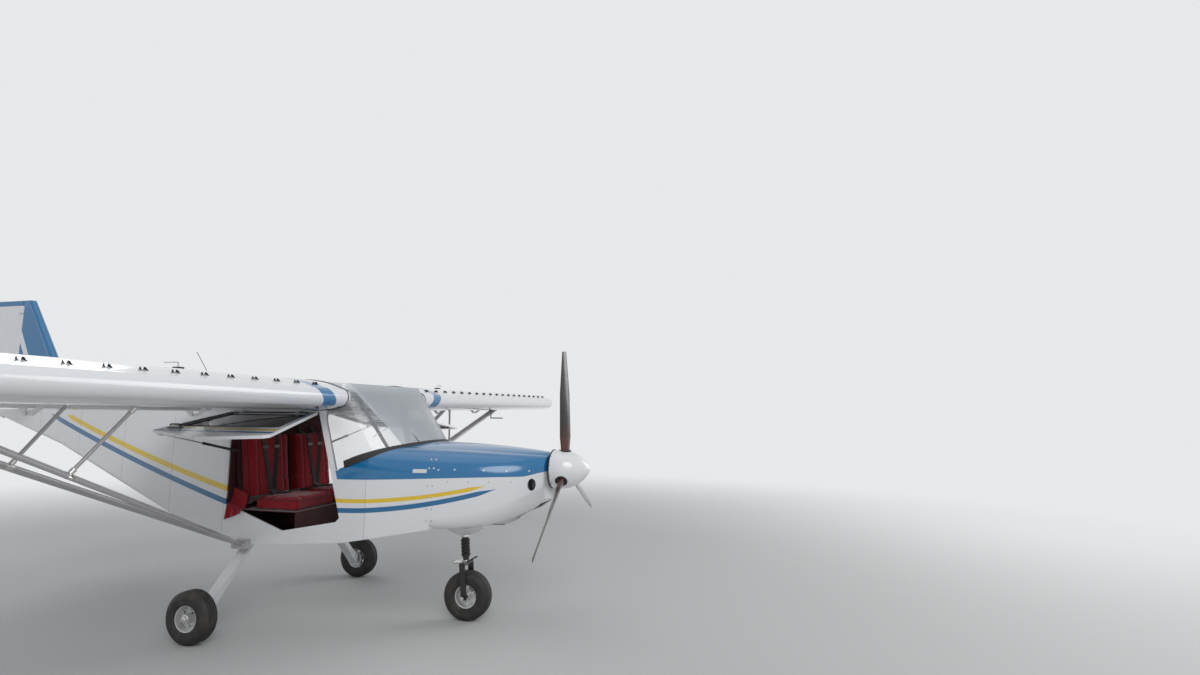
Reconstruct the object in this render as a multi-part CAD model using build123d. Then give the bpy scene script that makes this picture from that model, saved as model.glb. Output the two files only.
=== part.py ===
from build123d import *
import os
from math import atan2, cos, hypot, radians, sin, tan

os.makedirs("parts", exist_ok=True)

# Two-seat high-wing microlight aircraft, parked on its tricycle gear with both doors swung open.
# Millimetres. A station is a distance aft of the propeller plane, a side is a distance left of
# the centre plane, and a height is measured up from the ground.

# Overall
spinner_reach = 190.0
rudder_end_station = 5950.0
half_span = 4500.0
wing_root_side = 570.0
dihedral = 0.5
fin_top_height = 2570.0

# Running clearances and seats
pin_gap = 0.05
seat_gap = 0.3

# Cabin
cabin_half_width = 568.0
side_wall = 20.0
firewall_station = 840.0
firewall_half_width = 500.0
firewall_thickness = 8.0
widest_station = 1300.0
cabin_end_station = 2480.0
bulkhead_thickness = 15.0
belly_front_height = 740.0
belly_knee_station = 1483.0
belly_knee_height = 629.0
belly_low_station = 2280.0
belly_low_height = 575.0
belly_flat_end = 2350.0
belly_end_height = 600.0
shoulder_front_height = 1100.0
shoulder_end_height = 1133.0
roof_line_height = 1700.0
pillar_top_station = 1660.0
pillar_bend_station = 1646.0
pillar_bend_height = 1482.0
deck_wall = 12.0
roof_skin_thickness = 5.0
roof_front_setback = 12.0
roof_edge_drop = 5.0
roof_window_end = 1990.0

# Windscreen: its foot leans back from the apex on the deck to the cabin sides
screen_side_station = 1548.0
screen_apex_station = 1044.0
screen_apex_height = 1330.0
screen_top_station = 1716.0
screen_top_height = 1757.0
screen_back = 60.0
glass = 4.0
screen_rear_low = (1578.0, 1050.0)
screen_rear_high = (1700.0, 1590.0)
# Columns: straight run forward, corner forward, corner in from the side, shoulder forward, shoulder side
screen_foot_row = (70.0, 265.0, 33.0, 449.0, 367.0)
screen_top_row = (112.0, 184.0, 26.0, 216.0, 470.0)
screen_top_crown = 232.0

# Forward deck. Columns: station, half width, low height, high height, shoulder height, shoulder inset,
# crown, bottom corner
deck_end_station = 1560.0
deck_rows = [
    (firewall_station, firewall_half_width, belly_front_height, screen_apex_height - 10.0,
     shoulder_front_height, 200.0, 36.0, 80.0),
    (widest_station, cabin_half_width, 650.0, screen_apex_height + 4.0, 1121.5, 170.0, 30.0, 20.0),
    (deck_end_station, cabin_half_width, 620.0, screen_apex_height + 10.0, 1133.6, 160.0, 30.0, 20.0),
]

# Wing section, as points given by distance aft of its leading edge and height above it
wing_station = 1474.0
wing_height = 1645.0
wing_chord = 1200.0
wing_nose_low = (60.0, -58.0)
wing_nose_high = (60.0, 74.0)
wing_fore_top = (190.0, 116.0)
wing_crest = (380.0, 134.0)
wing_aft_top = (800.0, 102.0)
wing_aft_low = (760.0, -44.0)
wing_belly = (300.0, -84.0)
wing_chin = (150.0, -78.0)
wing_edge_height = 28.0
wing_edge_thickness = 12.0
tip_round = 180.0
tip_lift = 35.0
tip_sweep_share = 0.45
# Wing tip. Columns: share of the rounded length, scale of the section
tip_steps = [(0.0, 1.0), (0.67, 0.93), (1.0, 0.78)]

# Flaperon, hung below and behind the trailing edge
flaperon_inner_side = 625.0
flaperon_outer_side = half_span - 170.0
flaperon_nose = 1143.0
flaperon_nose_drop = 76.0
flaperon_nose_radius = 25.0
flaperon_chord = 335.0
flaperon_bulge = (120.0, 21.0)
flaperon_hinge = 1160.0
flaperon_hinge_drop = 130.0
flaperon_edge_drop = 104.0
flaperon_edge_half = 3.0
hinge_pin_radius = 4.0
hinge_pin_spare = 2.0
hinge_lug_radius = 12.0
hinge_web = 8.0
hinge_web_rise = 45.0
hinge_web_reach = 70.0
hinge_web_foot = 2.0

# Brackets under the wing that carry the flaperon, as points aft of the leading edge and above it
bracket_thickness = 8.0
bracket_sides = [760.0, 1900.0, 3050.0, half_span - 320.0]
bracket_outline = [
    (1000.0, 60.0), (1075.0, 60.0), (1082.0, -92.0), (1122.0, -122.0), (1160.0, -118.0),
    (1172.0, -130.0), (1160.0, -142.0), (1110.0, -142.0), (1040.0, -100.0), (1000.0, -20.0),
]

# Wing struts, each place by station, side and height
strut_width = 62.0
strut_depth = 26.0
strut_foot = (2280.0, 592.0, 585.0)
strut_front_top = (1830.0, 3000.0, 1575.0)
strut_rear_top = (2450.0, 3000.0, 1625.0)
strut_sink = 40.0
jury_share = 0.64
jury_front_top = (1880.0, 1890.0, 1568.0)
jury_rear_top = (2330.0, 1890.0, 1600.0)
jury_radius = 10.0
jury_sink = 60.0
fitting_half_length = 60.0
fitting_reach = 28.0
fitting_below = 30.0
fitting_above = 34.0

# Tank caps on the wing, each with a bent vent pipe
cap_station = 1900.0
cap_side = 1620.0
cap_flange_radius = 42.0
cap_flange = 4.0
cap_radius = 31.0
cap_rise = 16.0
vent_radius = 4.0
vent_rise = 46.0
vent_reach = 95.0
vent_droop = 10.0

# Air probe under the left wing
probe_side = 2620.0
probe_station = 1700.0
probe_drop = 95.0
probe_reach = 150.0
probe_radius = 6.0
probe_foot_length = 46.0
probe_foot_width = 24.0
probe_foot = 6.0

# Whip antenna on the tail cone
antenna_station = 3114.0
antenna_tip = (3388.0, 2057.0)
antenna_radius = 2.5
antenna_base_radius = 13.0
antenna_base = 22.0

# Doors, with corners by station and height from the front foot to the rear
door_gap = 5.0
door_hinge_side = 570.0
door_hinge_height = 1550.0
door_open_angle = 79.3
door_top_drop = 2.0
door_front_top = 1712.0
door_corners = [(1501.0, 800.0), (1531.0, 770.0), (1964.0, 690.0), (2248.0, 789.0), (2461.0, 865.0)]
door_rail = 45.0
door_window_bottom = 1010.0
door_glass = 4.0
door_hinge_stations = [1850.0, 2330.0]
door_knuckle = 24.0
knuckle_radius = 6.5
knuckle_pin_radius = 3.0
knuckle_clearance = 1.5
strap_reach = 60.0
strap_outset = 4.0

# Gas struts of the doors
gas_station = 2428.0
gas_foot_drop = 300.0
gas_foot_side = 533.0
gas_head_reach = 650.0
gas_head_inset = 35.0
gas_barrel_radius = 9.5
gas_rod_radius = 5.0
gas_eye_radius = 10.5
gas_eye_half = 6.0
gas_stud_radius = 5.0
gas_stud_spare = 7.0
gas_barrel_short = 12.0
gas_bore_start = 14.0
gas_rod_start = 18.0
gas_tab = 6.0
gas_tab_rear = 14.0
gas_tab_half = 10.0
gas_tab_spare = 9.0
gas_head_stud = 26.0

# Tail cone. Columns: station, half width, low height, high height
tail_wall = 7.0
tail_corner = 35.0
tail_sections = [
    (cabin_end_station, cabin_half_width, belly_end_height, 1717.0),
    (2790.0, 522.0, 660.0, 1706.0),
    (4470.0, 272.0, 1244.0, 1665.0),
    (5385.0, 85.0, 1452.0, 1640.0),
]

# Fin and rudder
fin_root_front = 4690.0
fin_root_height = 1655.0
fin_foot_depth = 60.0
fin_top_front = 5290.0
fin_root_thickness = 80.0
fin_top_thickness = 56.0
fin_rear_gap = 30.0
rudder_hinge_station = 5412.0
rudder_low_height = 1470.0
rudder_nose_radius = 20.0
rudder_pin_radius = 5.0
rudder_pin_inset = (90.0, 130.0)
rudder_lug_radius = 11.0
rudder_lug_half_width = 9.0
rudder_lug_half = 6.0
rudder_lug_reach = 45.0
rudder_slot_half = 14.0
rudder_slot_front = 40.0
rudder_slot_rear = 22.0
edge_half = 3.0
nose_share = 1.6
rear_share = 0.8

# Tailplane and elevator
stabiliser_height = 1585.0
stabiliser_front = 4850.0
stabiliser_rear_gap = 24.0
stabiliser_thickness = 60.0
tail_half_span = 1250.0
elevator_hinge_station = 5220.0
elevator_end = 5560.0
elevator_inner_side = 150.0
elevator_nose_share = 0.3
elevator_depth_share = 0.62
elevator_tube_radius = 14.0
elevator_tube_overlap = 30.0

# Cowl. Columns as for the forward deck
cowl_sections = [
    (108.0, 195.0, 930.0, 1262.0, 1130.0, 120.0, 22.0, 110.0),
    (300.0, 345.0, 812.0, 1285.0, 1105.0, 170.0, 30.0, 130.0),
    (500.0, 425.0, 752.0, 1302.0, 1100.0, 190.0, 34.0, 120.0),
    deck_rows[0],
]
cowl_wall = 5.0
cowl_split_height = 1090.0
cowl_mouth_radius = 60.0
least_corner = 4.0
# Oval inlets in the cowl's cheeks: station, height, half length, half height
cheek_inlet = (175.0, 1046.0, 20.0, 38.0)
# Chin ducts. Columns: half width, then mouth top, mouth foot, lowest point and rear end by station and height
chin_ducts = [
    (150.0, (150.0, 896.0), (235.0, 838.0), (300.0, 798.0), (400.0, 784.0)),
    (115.0, (318.0, 800.0), (436.0, 728.0), (530.0, 724.0), (620.0, 744.0)),
]
duct_wall = 4.0
duct_roof = 70.0
duct_round = 24.0
duct_mouth_step = 8.0

# Engine and its mount
engine_front = 250.0
engine_back = 640.0
engine_half_width = 270.0
engine_low = 905.0
engine_high = 1190.0
mount_inset = 40.0
mount_edge = 30.0
mount_radius = 12.0

# Propeller and spinner
hub_height = 1140.0
spinner_radius = 140.0
spinner_back = 96.0
spinner_wall = 3.0
spinner_skirt = 30.0
spinner_plate = 6.0
spinner_bulge = (0.8, 0.47)
spinner_tip_share = 2.5
shaft_radius = 20.0
shaft_depth = 50.0
hub_radius = 72.0
hub_front = 62.0
hub_flange = 9.0
blade_hole_radius = 46.0
blade_hole_start = 75.0
blade_hole_end = 175.0
blade_angles = [95.5, 215.5, 335.5]
# Blade. Columns: radius, chord, thickness, pitch
blade_sections = [
    (60.0, 62.0, 60.0, 40.0),
    (240.0, 104.0, 30.0, 34.0),
    (560.0, 122.0, 16.0, 20.0),
    (876.0, 62.0, 8.0, 13.0),
]

# Wheels
rim_radius = 86.0
rim_wall = 6.0
rim_dish = 8.0
rim_flange = 12.0
wheel_hub_radius = 30.0
wheel_hub_inset = 8.0
wheel_hole_radius = 11.0
wheel_hole_share = 0.49
wheel_hole_step = 60
tyre_round_share = 0.8
tyre_bead_round = 12.0

# Main gear
main_axle_station = 2309.0
main_wheel_side = 961.0
main_wheel_radius = 176.0
main_tyre_width = 125.0
main_axle_radius = 12.0
leaf_chord = 78.0
leaf_thickness = 22.0
leaf_flat_side = 480.0
leaf_end_side = 868.0
leaf_end_above = 44.0
leaf_end_below = 34.0
leaf_foot = 16.0
leaf_foot_inset = 4.0

# Nose gear
nose_axle_station = 753.0
nose_wheel_radius = 181.0
nose_tyre_width = 112.0
nose_axle_radius = 10.0
nose_rake = 5.0
fork_side = 72.0
fork_thickness = 10.0
fork_chord = 44.0
fork_crown = 228.0
fork_crown_depth = 22.0
fork_toe = 18.0
tow_peg_length = 26.0
nose_stem_radius = 16.0
nose_stem_short = 60.0
nose_tube_radius = 24.0
nose_tube_low = 270.0
nose_tube_high = 680.0
nose_tube_seam = 2.0
nose_bore_short = 50.0
nose_hole_clearance = 5.0
nose_arm_heights = [775.0, 815.0]
nose_arm_depth = 25.0
nose_arm_half = 30.0
nose_arm_reach = 60.0
# Blister behind the nose leg. Columns: station, half width, depth
blister_base = 745.0
blister_belly = 24.0
blister_clearance = 4.0
blister_rows = [(980.0, 30.0, 26.0), (860.0, 105.0, 92.0), (760.0, 112.0, 96.0), (640.0, 40.0, 40.0)]

# Seats
seat_sheet = 6.0
seat_front_station = 1900.0
seat_back_station = 2330.0
seat_height = 815.0
seat_inner_side = 30.0
seat_outer_side = 500.0
seat_pan_overhang = 10.0
cushion_thickness = 95.0
cushion_rear_gap = 45.0
cushion_round = 18.0
back_thickness = 80.0
back_foot_rise = 30.0
back_crest_drop = 10.0
back_top_height = 1390.0
riser_foot = 2386.0
riser_top = 2458.0
riser_thickness = 4.0

# Instrument panel
panel_station = 1262.0
panel_thickness = 6.0
panel_low = 960.0
shelf_station = 1080.0
shelf_drop = 9.0

# Control stick, by station, side and height
stick_foot_station = 1780.0
stick_radius = 14.0
stick_fork_radius = 10.0
stick_fork = (1720.0, 0.0, 900.0)
stick_elbow = (1710.0, 130.0, 940.0)
stick_grip = (1700.0, 150.0, 1060.0)

# Cabin frame tubes, by station, side and height
frame_front = (1560.0, 548.0, 1640.0)
frame_rear = (1850.0, 548.0, 1660.0)
frame_front_radius = 14.0
frame_rear_radius = 20.0
frame_brace_radius = 12.0
frame_rail_side = 430.0
frame_brace_side = 300.0
frame_brace_foot = (1242.0, 1200.0)

datum = (rudder_end_station - spinner_reach) / 2
far = half_span + rudder_end_station

side_plane = Plane(origin=(datum, 0, 0), x_dir=(-1, 0, 0), z_dir=(0, 1, 0))
plan_plane = Plane(origin=(datum, 0, 0), x_dir=(-1, 0, 0), z_dir=(0, 0, -1))


def at(station, side, height):
    return Vector(datum - station, side, height)


def station_plane(station):
    return Plane(origin=(datum - station, 0, 0), x_dir=(0, 1, 0), z_dir=(1, 0, 0))


def outline(points):
    return make_face(Polyline(*points, close=True))


def side_slab(face, from_side, to_side):
    # A face drawn by station and height, as a slab between two sides.
    return Pos(0, from_side, 0) * extrude(side_plane * face, amount=to_side - from_side)


def plan_slab(face, from_height, to_height):
    # A face drawn by station and side, as a slab between two heights.
    return Pos(0, 0, to_height) * extrude(plan_plane * face, amount=to_height - from_height)


def block(station_a, station_b, side_a, side_b, height_a, height_b):
    size = (abs(station_b - station_a), abs(side_b - side_a), abs(height_b - height_a))
    middle = at((station_a + station_b) / 2, (side_a + side_b) / 2, (height_a + height_b) / 2)
    return Pos(middle) * Box(*size)


def rod(start, end, radius):
    axis = end - start
    return Plane(origin=start, z_dir=axis) * extrude(Circle(radius), amount=axis.length)


def flat_bar(start, end, width, depth):
    # A strut with rounded edges, its width along the line of flight.
    axis = end - start
    plane = Plane(origin=start, x_dir=axis.cross(Vector(-axis.Z, 0, axis.X)).cross(axis), z_dir=axis)
    return extrude(plane * SlotOverall(width, depth), amount=axis.length)


def mirrored(part):
    return mirror(part, about=Plane.XZ)


def largest(part):
    return sorted(part.solids(), key=lambda solid: solid.volume)[-1]


def save(part, node):
    solids = part.solids()
    shape = solids[0] if len(solids) == 1 else Compound(children=list(solids))
    shape.label = node
    export_step(shape, f"parts/{node}.step")


def pair(part, node):
    # A right-hand piece and its mirror image on the left.
    save(part, f"{node}_right")
    save(mirrored(part), f"{node}_left")


def body_section(station, half_width, low, high, shoulder, inset, crown, corner):
    # A rounded box: flat bottom, vertical sides, curved shoulders and a slightly domed top.
    bend = corner * (1 - cos(radians(45)))
    edge = (half_width - inset, high - crown)
    edges = [
        Line((corner - half_width, low), (half_width - corner, low)),
        ThreePointArc((half_width - corner, low), (half_width - bend, low + bend), (half_width, low + corner)),
        Line((half_width, low + corner), (half_width, shoulder)),
        TangentArc((half_width, shoulder), edge, tangent=(0, 1)),
        ThreePointArc(edge, (0, high), (-edge[0], edge[1])),
        TangentArc((-half_width, shoulder), (-edge[0], edge[1]), tangent=(0, 1)),
        Line((-half_width, shoulder), (-half_width, low + corner)),
        ThreePointArc((-half_width, low + corner), (bend - half_width, low + bend), (corner - half_width, low)),
    ]
    return station_plane(station) * make_face(Wire(edges))


def inset_row(row, wall):
    station, half_width, low, high, shoulder, inset, crown, corner = row
    low_corner = max(corner - wall, least_corner)
    return (station, half_width - wall, low + wall, high - wall, shoulder, inset, crown, low_corner)


def wing_rise(side):
    return (side - wing_root_side) * tan(radians(dihedral))


def wing_face(scale=1.0, lift=0.0, setback=0.0):
    # The closed section of the wing, by station and height.
    def place(point):
        return (wing_station + setback + point[0] * scale, wing_height + lift + point[1] * scale)

    nose = place((0, 0))
    nose_low = place(wing_nose_low)
    nose_high = place(wing_nose_high)
    crest = place(wing_crest)
    belly = place(wing_belly)
    edge_top = place((wing_chord, wing_edge_height + wing_edge_thickness / 2))
    edge_low = place((wing_chord, wing_edge_height - wing_edge_thickness / 2))
    edges = [
        ThreePointArc(nose_low, nose, nose_high),
        ThreePointArc(nose_high, place(wing_fore_top), crest),
        ThreePointArc(crest, place(wing_aft_top), edge_top),
        Line(edge_top, edge_low),
        ThreePointArc(edge_low, place(wing_aft_low), belly),
        ThreePointArc(belly, place(wing_chin), nose_low),
    ]
    return make_face(Wire(edges))


def wing_loft():
    # Right wing: a constant section, then a tip that closes in steps.
    def section(side, scale):
        lift = wing_rise(side) + (1 - scale) * tip_lift
        setback = wing_chord * (1 - scale) * tip_sweep_share
        return Pos(0, -side, 0) * (side_plane * wing_face(scale, lift, setback))

    tip_start = half_span - tip_round
    tip_faces = [section(tip_start + share * tip_round, scale) for share, scale in tip_steps]
    straight = loft([section(wing_root_side, 1.0), tip_faces[0]], ruled=True)
    return straight + loft(tip_faces, ruled=True)


def flaperon_face():
    nose = (wing_station + flaperon_nose, wing_height - flaperon_nose_drop)
    tail_station = nose[0] - flaperon_nose_radius + flaperon_chord
    tail_height = wing_height - flaperon_edge_drop
    top = (nose[0], nose[1] + flaperon_nose_radius)
    low = (nose[0], nose[1] - flaperon_nose_radius)
    tail_top = (tail_station, tail_height + flaperon_edge_half)
    tail_low = (tail_station, tail_height - flaperon_edge_half)
    edges = [
        ThreePointArc(low, (nose[0] - flaperon_nose_radius, nose[1]), top),
        ThreePointArc(top, (nose[0] + flaperon_bulge[0], nose[1] + flaperon_bulge[1]), tail_top),
        Line(tail_top, tail_low),
        Line(tail_low, low),
    ]
    return make_face(Wire(edges))


def hinge_place(side):
    height = wing_height - flaperon_hinge_drop + wing_rise(side)
    return at(wing_station + flaperon_hinge, -side, height)


def wing_brackets():
    # Plates that reach down from the wing and carry a short pin for each flaperon lug.
    plates = []
    for side in bracket_sides:
        points = [(wing_station + aft, wing_height + up + wing_rise(side)) for aft, up in bracket_outline]
        plate = side_slab(outline(points), -side, -side + bracket_thickness)
        centre = hinge_place(side)
        pin_end = centre - Vector(0, bracket_thickness + hinge_pin_spare, 0)
        plates.append(plate + rod(centre, pin_end, hinge_pin_radius))
    return plates


def flaperon_right():
    face = side_plane * flaperon_face()
    first = Pos(0, -flaperon_inner_side, wing_rise(flaperon_inner_side)) * face
    last = Pos(0, -flaperon_outer_side, wing_rise(flaperon_outer_side)) * face
    body = loft([first, last], ruled=True)
    for side in bracket_sides:
        centre = hinge_place(side)
        hinge = wing_station + flaperon_hinge
        web = outline([
            (hinge - hinge_web, centre.Z + hinge_web_rise),
            (hinge + hinge_web_reach, centre.Z + hinge_web_rise),
            (hinge + hinge_lug_radius, centre.Z - hinge_web_foot),
            (hinge - hinge_web, centre.Z - hinge_web_foot),
        ])
        inner = -side - seat_gap * 2
        outer = inner - bracket_thickness
        start = Vector(centre.X, inner, centre.Z)
        end = Vector(centre.X, outer, centre.Z)
        over = Vector(0, hinge_pin_spare, 0)
        lug = side_slab(web, outer, inner) + rod(start, end, hinge_lug_radius)
        body = body + (lug - rod(start + over, end - over, hinge_pin_radius + pin_gap))
    return body


def shoulder_height(station):
    rise = shoulder_end_height - shoulder_front_height
    run = screen_side_station - firewall_station
    return shoulder_front_height + rise * (station - firewall_station) / run


def door_outline(shrink):
    # The door by station and height, drawn in by a running gap on every edge.
    top = door_hinge_height - door_top_drop
    face = outline([(door_front_top, top)] + door_corners + [(door_corners[-1][0], top)])
    return offset(face, amount=-shrink, kind=Kind.INTERSECTION) if shrink else face


def door_window():
    inner = door_outline(door_gap + door_rail)
    above = outline([(0, door_window_bottom), (far, door_window_bottom), (far, far), (0, far)])
    return inner & above


def side_outline():
    # Cabin side by station and height, with the door cut out of it.
    shell = outline([
        (firewall_station, belly_front_height), (belly_knee_station, belly_knee_height),
        (belly_low_station, belly_low_height), (belly_flat_end, belly_low_height),
        (cabin_end_station, belly_end_height), (cabin_end_station, roof_line_height),
        (pillar_top_station, roof_line_height), (pillar_bend_station, pillar_bend_height),
        (screen_side_station, shoulder_end_height), (firewall_station, shoulder_front_height),
    ])
    return shell - door_outline(0)


def hinge_knuckle(station, length, radius):
    # A barrel of the door hinge, centred on a station.
    middle = at(station, -door_hinge_side, door_hinge_height)
    half = Vector(length / 2, 0, 0)
    return rod(middle - half, middle + half, radius)


def cabin_wall_plan():
    # Right cabin wall seen from above, by station and side.
    return outline([
        (firewall_station, -firewall_half_width), (widest_station, -cabin_half_width),
        (cabin_end_station, -cabin_half_width), (cabin_end_station, side_wall - cabin_half_width),
        (widest_station, side_wall - cabin_half_width), (firewall_station, side_wall - firewall_half_width),
    ])


def cabin_floor_plan():
    half = cabin_half_width - side_wall
    front = firewall_half_width - side_wall
    return outline([
        (firewall_station, -front), (widest_station, -half), (cabin_end_station, -half),
        (cabin_end_station, half), (widest_station, half), (firewall_station, front),
    ])


def screen_foot_height(station):
    rise = screen_apex_height - shoulder_end_height
    return shoulder_end_height + rise * (screen_side_station - station) / (screen_side_station - screen_apex_station)


def screen_plane():
    # The tilted plane that the windscreen's foot lies in.
    run = screen_side_station - screen_apex_station
    rise = screen_apex_height - shoulder_end_height
    origin = at(screen_side_station, 0, shoulder_end_height)
    return Plane(origin=origin, x_dir=(run, 0, rise), z_dir=(-rise, 0, run))


def screen_arcs(row, crown, inset):
    # Windscreen outline seen from above, by distance forward and side.
    straight, corner_forward, corner_in, shoulder_forward, shoulder_side = row
    half = cabin_half_width - 1 - inset
    end = (straight, half)
    corner = (corner_forward - inset, half - corner_in)
    shoulder = (shoulder_forward - inset, shoulder_side - inset)
    back = -screen_back

    def right(point):
        return (point[0], -point[1])

    return make_face(Wire([
        Line((back, -half), right(end)),
        ThreePointArc(right(end), right(corner), right(shoulder)),
        ThreePointArc(right(shoulder), (crown - inset, 0), shoulder),
        ThreePointArc(shoulder, corner, end),
        Line(end, (back, half)),
        Line((back, half), (back, -half)),
    ]))


def screen_solid(inset):
    foot_crown = hypot(screen_side_station - screen_apex_station, screen_apex_height - shoulder_end_height)
    foot = screen_plane() * screen_arcs(screen_foot_row, foot_crown, inset)
    top_plane = Plane(origin=at(screen_top_station, 0, screen_top_height), x_dir=(1, 0, 0), z_dir=(0, 0, 1))
    return loft([foot, top_plane * screen_arcs(screen_top_row, screen_top_crown, inset)], ruled=True)


def make_deck():
    outer = loft([body_section(*row) for row in deck_rows], ruled=True)
    inner = loft([body_section(*inset_row(row, deck_wall)) for row in deck_rows], ruled=True)
    above = side_slab(outline([
        (firewall_station, shoulder_front_height), (deck_end_station, shoulder_height(deck_end_station)),
        (deck_end_station, roof_line_height), (firewall_station, roof_line_height),
    ]), -far, far)
    over_screen = extrude(screen_plane() * Rectangle(2 * far, 2 * far), amount=far)
    return ((outer - inner) & above) - over_screen


def make_roof():
    # Root rib of the right side, and the skin that runs across the cabin.
    rib = side_slab(wing_face(), -wing_root_side, side_wall - cabin_half_width)
    rib = rib & block(0, cabin_end_station, -far, far, 0, far)
    whole = side_slab(wing_face(), -wing_root_side, wing_root_side)
    skin = whole - Pos(0, 0, -roof_skin_thickness) * whole
    skin = skin & block(wing_station + roof_front_setback, cabin_end_station, -far, far,
                        wing_height - roof_edge_drop, far)
    return rib - skin, skin


def make_side(rib, skin):
    side = plan_slab(cabin_wall_plan(), 0, far) & side_slab(side_outline(), -far, 0)
    side = side - rib - skin
    for station in door_hinge_stations:
        side = side - hinge_knuckle(station, door_knuckle + knuckle_clearance, knuckle_radius + knuckle_clearance)
        side = side + hinge_knuckle(station - door_knuckle, door_knuckle, knuckle_radius)
        pin = at(station - door_knuckle, -door_hinge_side, door_hinge_height)
        side = side + rod(pin, pin - Vector(door_knuckle * 1.5, 0, 0), knuckle_pin_radius)
    return side


def make_belly():
    line = [
        (firewall_station, belly_front_height), (belly_knee_station, belly_knee_height),
        (belly_low_station, belly_low_height), (belly_flat_end, belly_low_height),
        (cabin_end_station, belly_end_height),
    ]
    top_line = [(station, height + side_wall) for station, height in reversed(line)]
    return side_slab(outline(line + top_line), -far, far) & plan_slab(cabin_floor_plan(), 0, far)


def make_bulkhead(cabin):
    half = cabin_half_width - side_wall
    front = cabin_end_station - bulkhead_thickness
    panel = block(front, cabin_end_station, -half, half, belly_low_height, wing_height + wing_crest[1])
    panel = panel - cabin["belly"] - cabin["skin"] - cabin["rib"] - mirrored(cabin["rib"])
    panel = largest(panel - cabin["side"] - mirrored(cabin["side"]))
    stud = Vector(front - gas_station + gas_stud_spare, 0, 0)
    for side in (-gas_foot_side, gas_foot_side):
        foot = at(front, side, door_hinge_height - gas_foot_drop)
        panel = panel + rod(foot, foot + stud, gas_stud_radius)
    return panel


def save_cabin():
    deck = make_deck()
    save(deck, "nose_deck")
    rib, skin = make_roof()
    side = make_side(rib, skin)
    pair(side, "cabin_side")
    pair(rib, "root_rib")
    front = block(0, roof_window_end, -far, far, 0, far)
    save(skin & front, "roof_window")
    save(skin - front, "roof_skin")

    behind = side_slab(outline([
        screen_rear_low, screen_rear_high, (screen_rear_high[0], far), (far, far), (far, screen_rear_low[1]),
    ]), -far, far)
    screen = screen_solid(0) - screen_solid(glass) - behind
    save(largest(screen - side - mirrored(side) - rib - mirrored(rib) - skin), "windscreen")

    belly = make_belly()
    save(belly, "belly")
    firewall = extrude(body_section(*inset_row(deck_rows[0], deck_wall)), amount=-firewall_thickness)
    firewall = firewall - belly - side - mirrored(side) - deck
    save(firewall, "firewall")
    cabin = {"side": side, "belly": belly, "rib": rib, "skin": skin, "deck": deck, "firewall": firewall}
    save(make_bulkhead(cabin), "rear_bulkhead")
    return cabin


def chin_duct(half_width, mouth_top, mouth_foot, lowest, rear):
    # A scoop under the cowl and the passage through it, both wider than the part that shows.
    roof = duct_roof
    shell = side_slab(outline([
        mouth_top, mouth_foot, lowest, rear, (rear[0], rear[1] + roof), (mouth_top[0], mouth_top[1] + roof),
    ]), -half_width, half_width)
    low_edges = shell.edges().filter_by(lambda edge: abs(edge.center().Y) > half_width - 1)
    low_edges = low_edges.filter_by(lambda edge: edge.center().Z < mouth_foot[1] + 1)
    shell = fillet(low_edges, duct_round)
    step = duct_mouth_step
    passage = side_slab(outline([
        (mouth_top[0] - step, mouth_top[1]), (mouth_foot[0] - step, mouth_foot[1] + duct_wall),
        (mouth_foot[0], mouth_foot[1] + duct_wall), (lowest[0], lowest[1] + duct_wall),
        (rear[0] - step, rear[1] + duct_wall), (rear[0] - step, rear[1] + roof / 2),
        (mouth_top[0] + step, mouth_top[1] + duct_wall),
    ]), duct_wall - half_width, half_width - duct_wall)
    return shell, passage


def save_cowl(nose_tube_hole):
    outer = loft([body_section(*row) for row in cowl_sections])
    inner_rows = [inset_row(row, cowl_wall) for row in cowl_sections]
    inner_rows[0] = (inner_rows[0][0] + cowl_wall,) + inner_rows[0][1:]
    inner = loft([body_section(*row) for row in inner_rows])
    inner = inner + extrude(body_section(*inner_rows[-1]), amount=-2 * cowl_wall)
    front = cowl_sections[0][0]
    mouth = rod(at(front / 2, 0, hub_height), at(front * 2, 0, hub_height), cowl_mouth_radius)
    shell = outer - inner
    station, height, half_length, half_height = cheek_inlet
    inlet = side_slab(Pos(station, height) * Ellipse(half_length, half_height), -far, far)
    for row in chin_ducts:
        scoop, passage = chin_duct(*row)
        shell = (shell + (scoop - inner)) - passage
    shell = shell - mouth - nose_tube_hole - inlet
    save(largest(shell & block(0, firewall_station, -far, far, cowl_split_height, far)), "cowl_upper")
    save(largest(shell & block(0, firewall_station, -far, far, 0, cowl_split_height)), "cowl_lower")
    return outer


def save_engine():
    engine = block(engine_front, engine_back, -engine_half_width, engine_half_width, engine_low, engine_high)
    bore_end = at(engine_front + shaft_depth + cowl_wall * 2, 0, hub_height)
    bore = rod(at(0, 0, hub_height), bore_end, shaft_radius + pin_gap)
    save(engine - bore, "engine_block")
    legs = []
    for side in (mount_inset - engine_half_width, engine_half_width - mount_inset):
        for height in (engine_low + mount_edge, engine_high - mount_edge):
            legs.append(rod(at(engine_back, side, height), at(firewall_station, side, height), mount_radius))
    save(Compound(children=legs), "engine_mount")


def blade():
    # Lens sections that turn from a coarse pitch at the root to a fine one at the tip.
    faces = []
    for radius, chord, thickness, pitch in blade_sections:
        lens = make_face(Wire([
            ThreePointArc((-chord / 2, 0), (0, thickness / 2), (chord / 2, 0)),
            ThreePointArc((chord / 2, 0), (0, -thickness / 2), (-chord / 2, 0)),
        ]))
        place = Plane(origin=(0, 0, radius), x_dir=(1, 0, 0), z_dir=(0, 0, 1))
        faces.append(place * (Rot(0, 0, 90 - pitch) * lens))
    return loft(faces, ruled=True)


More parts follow.
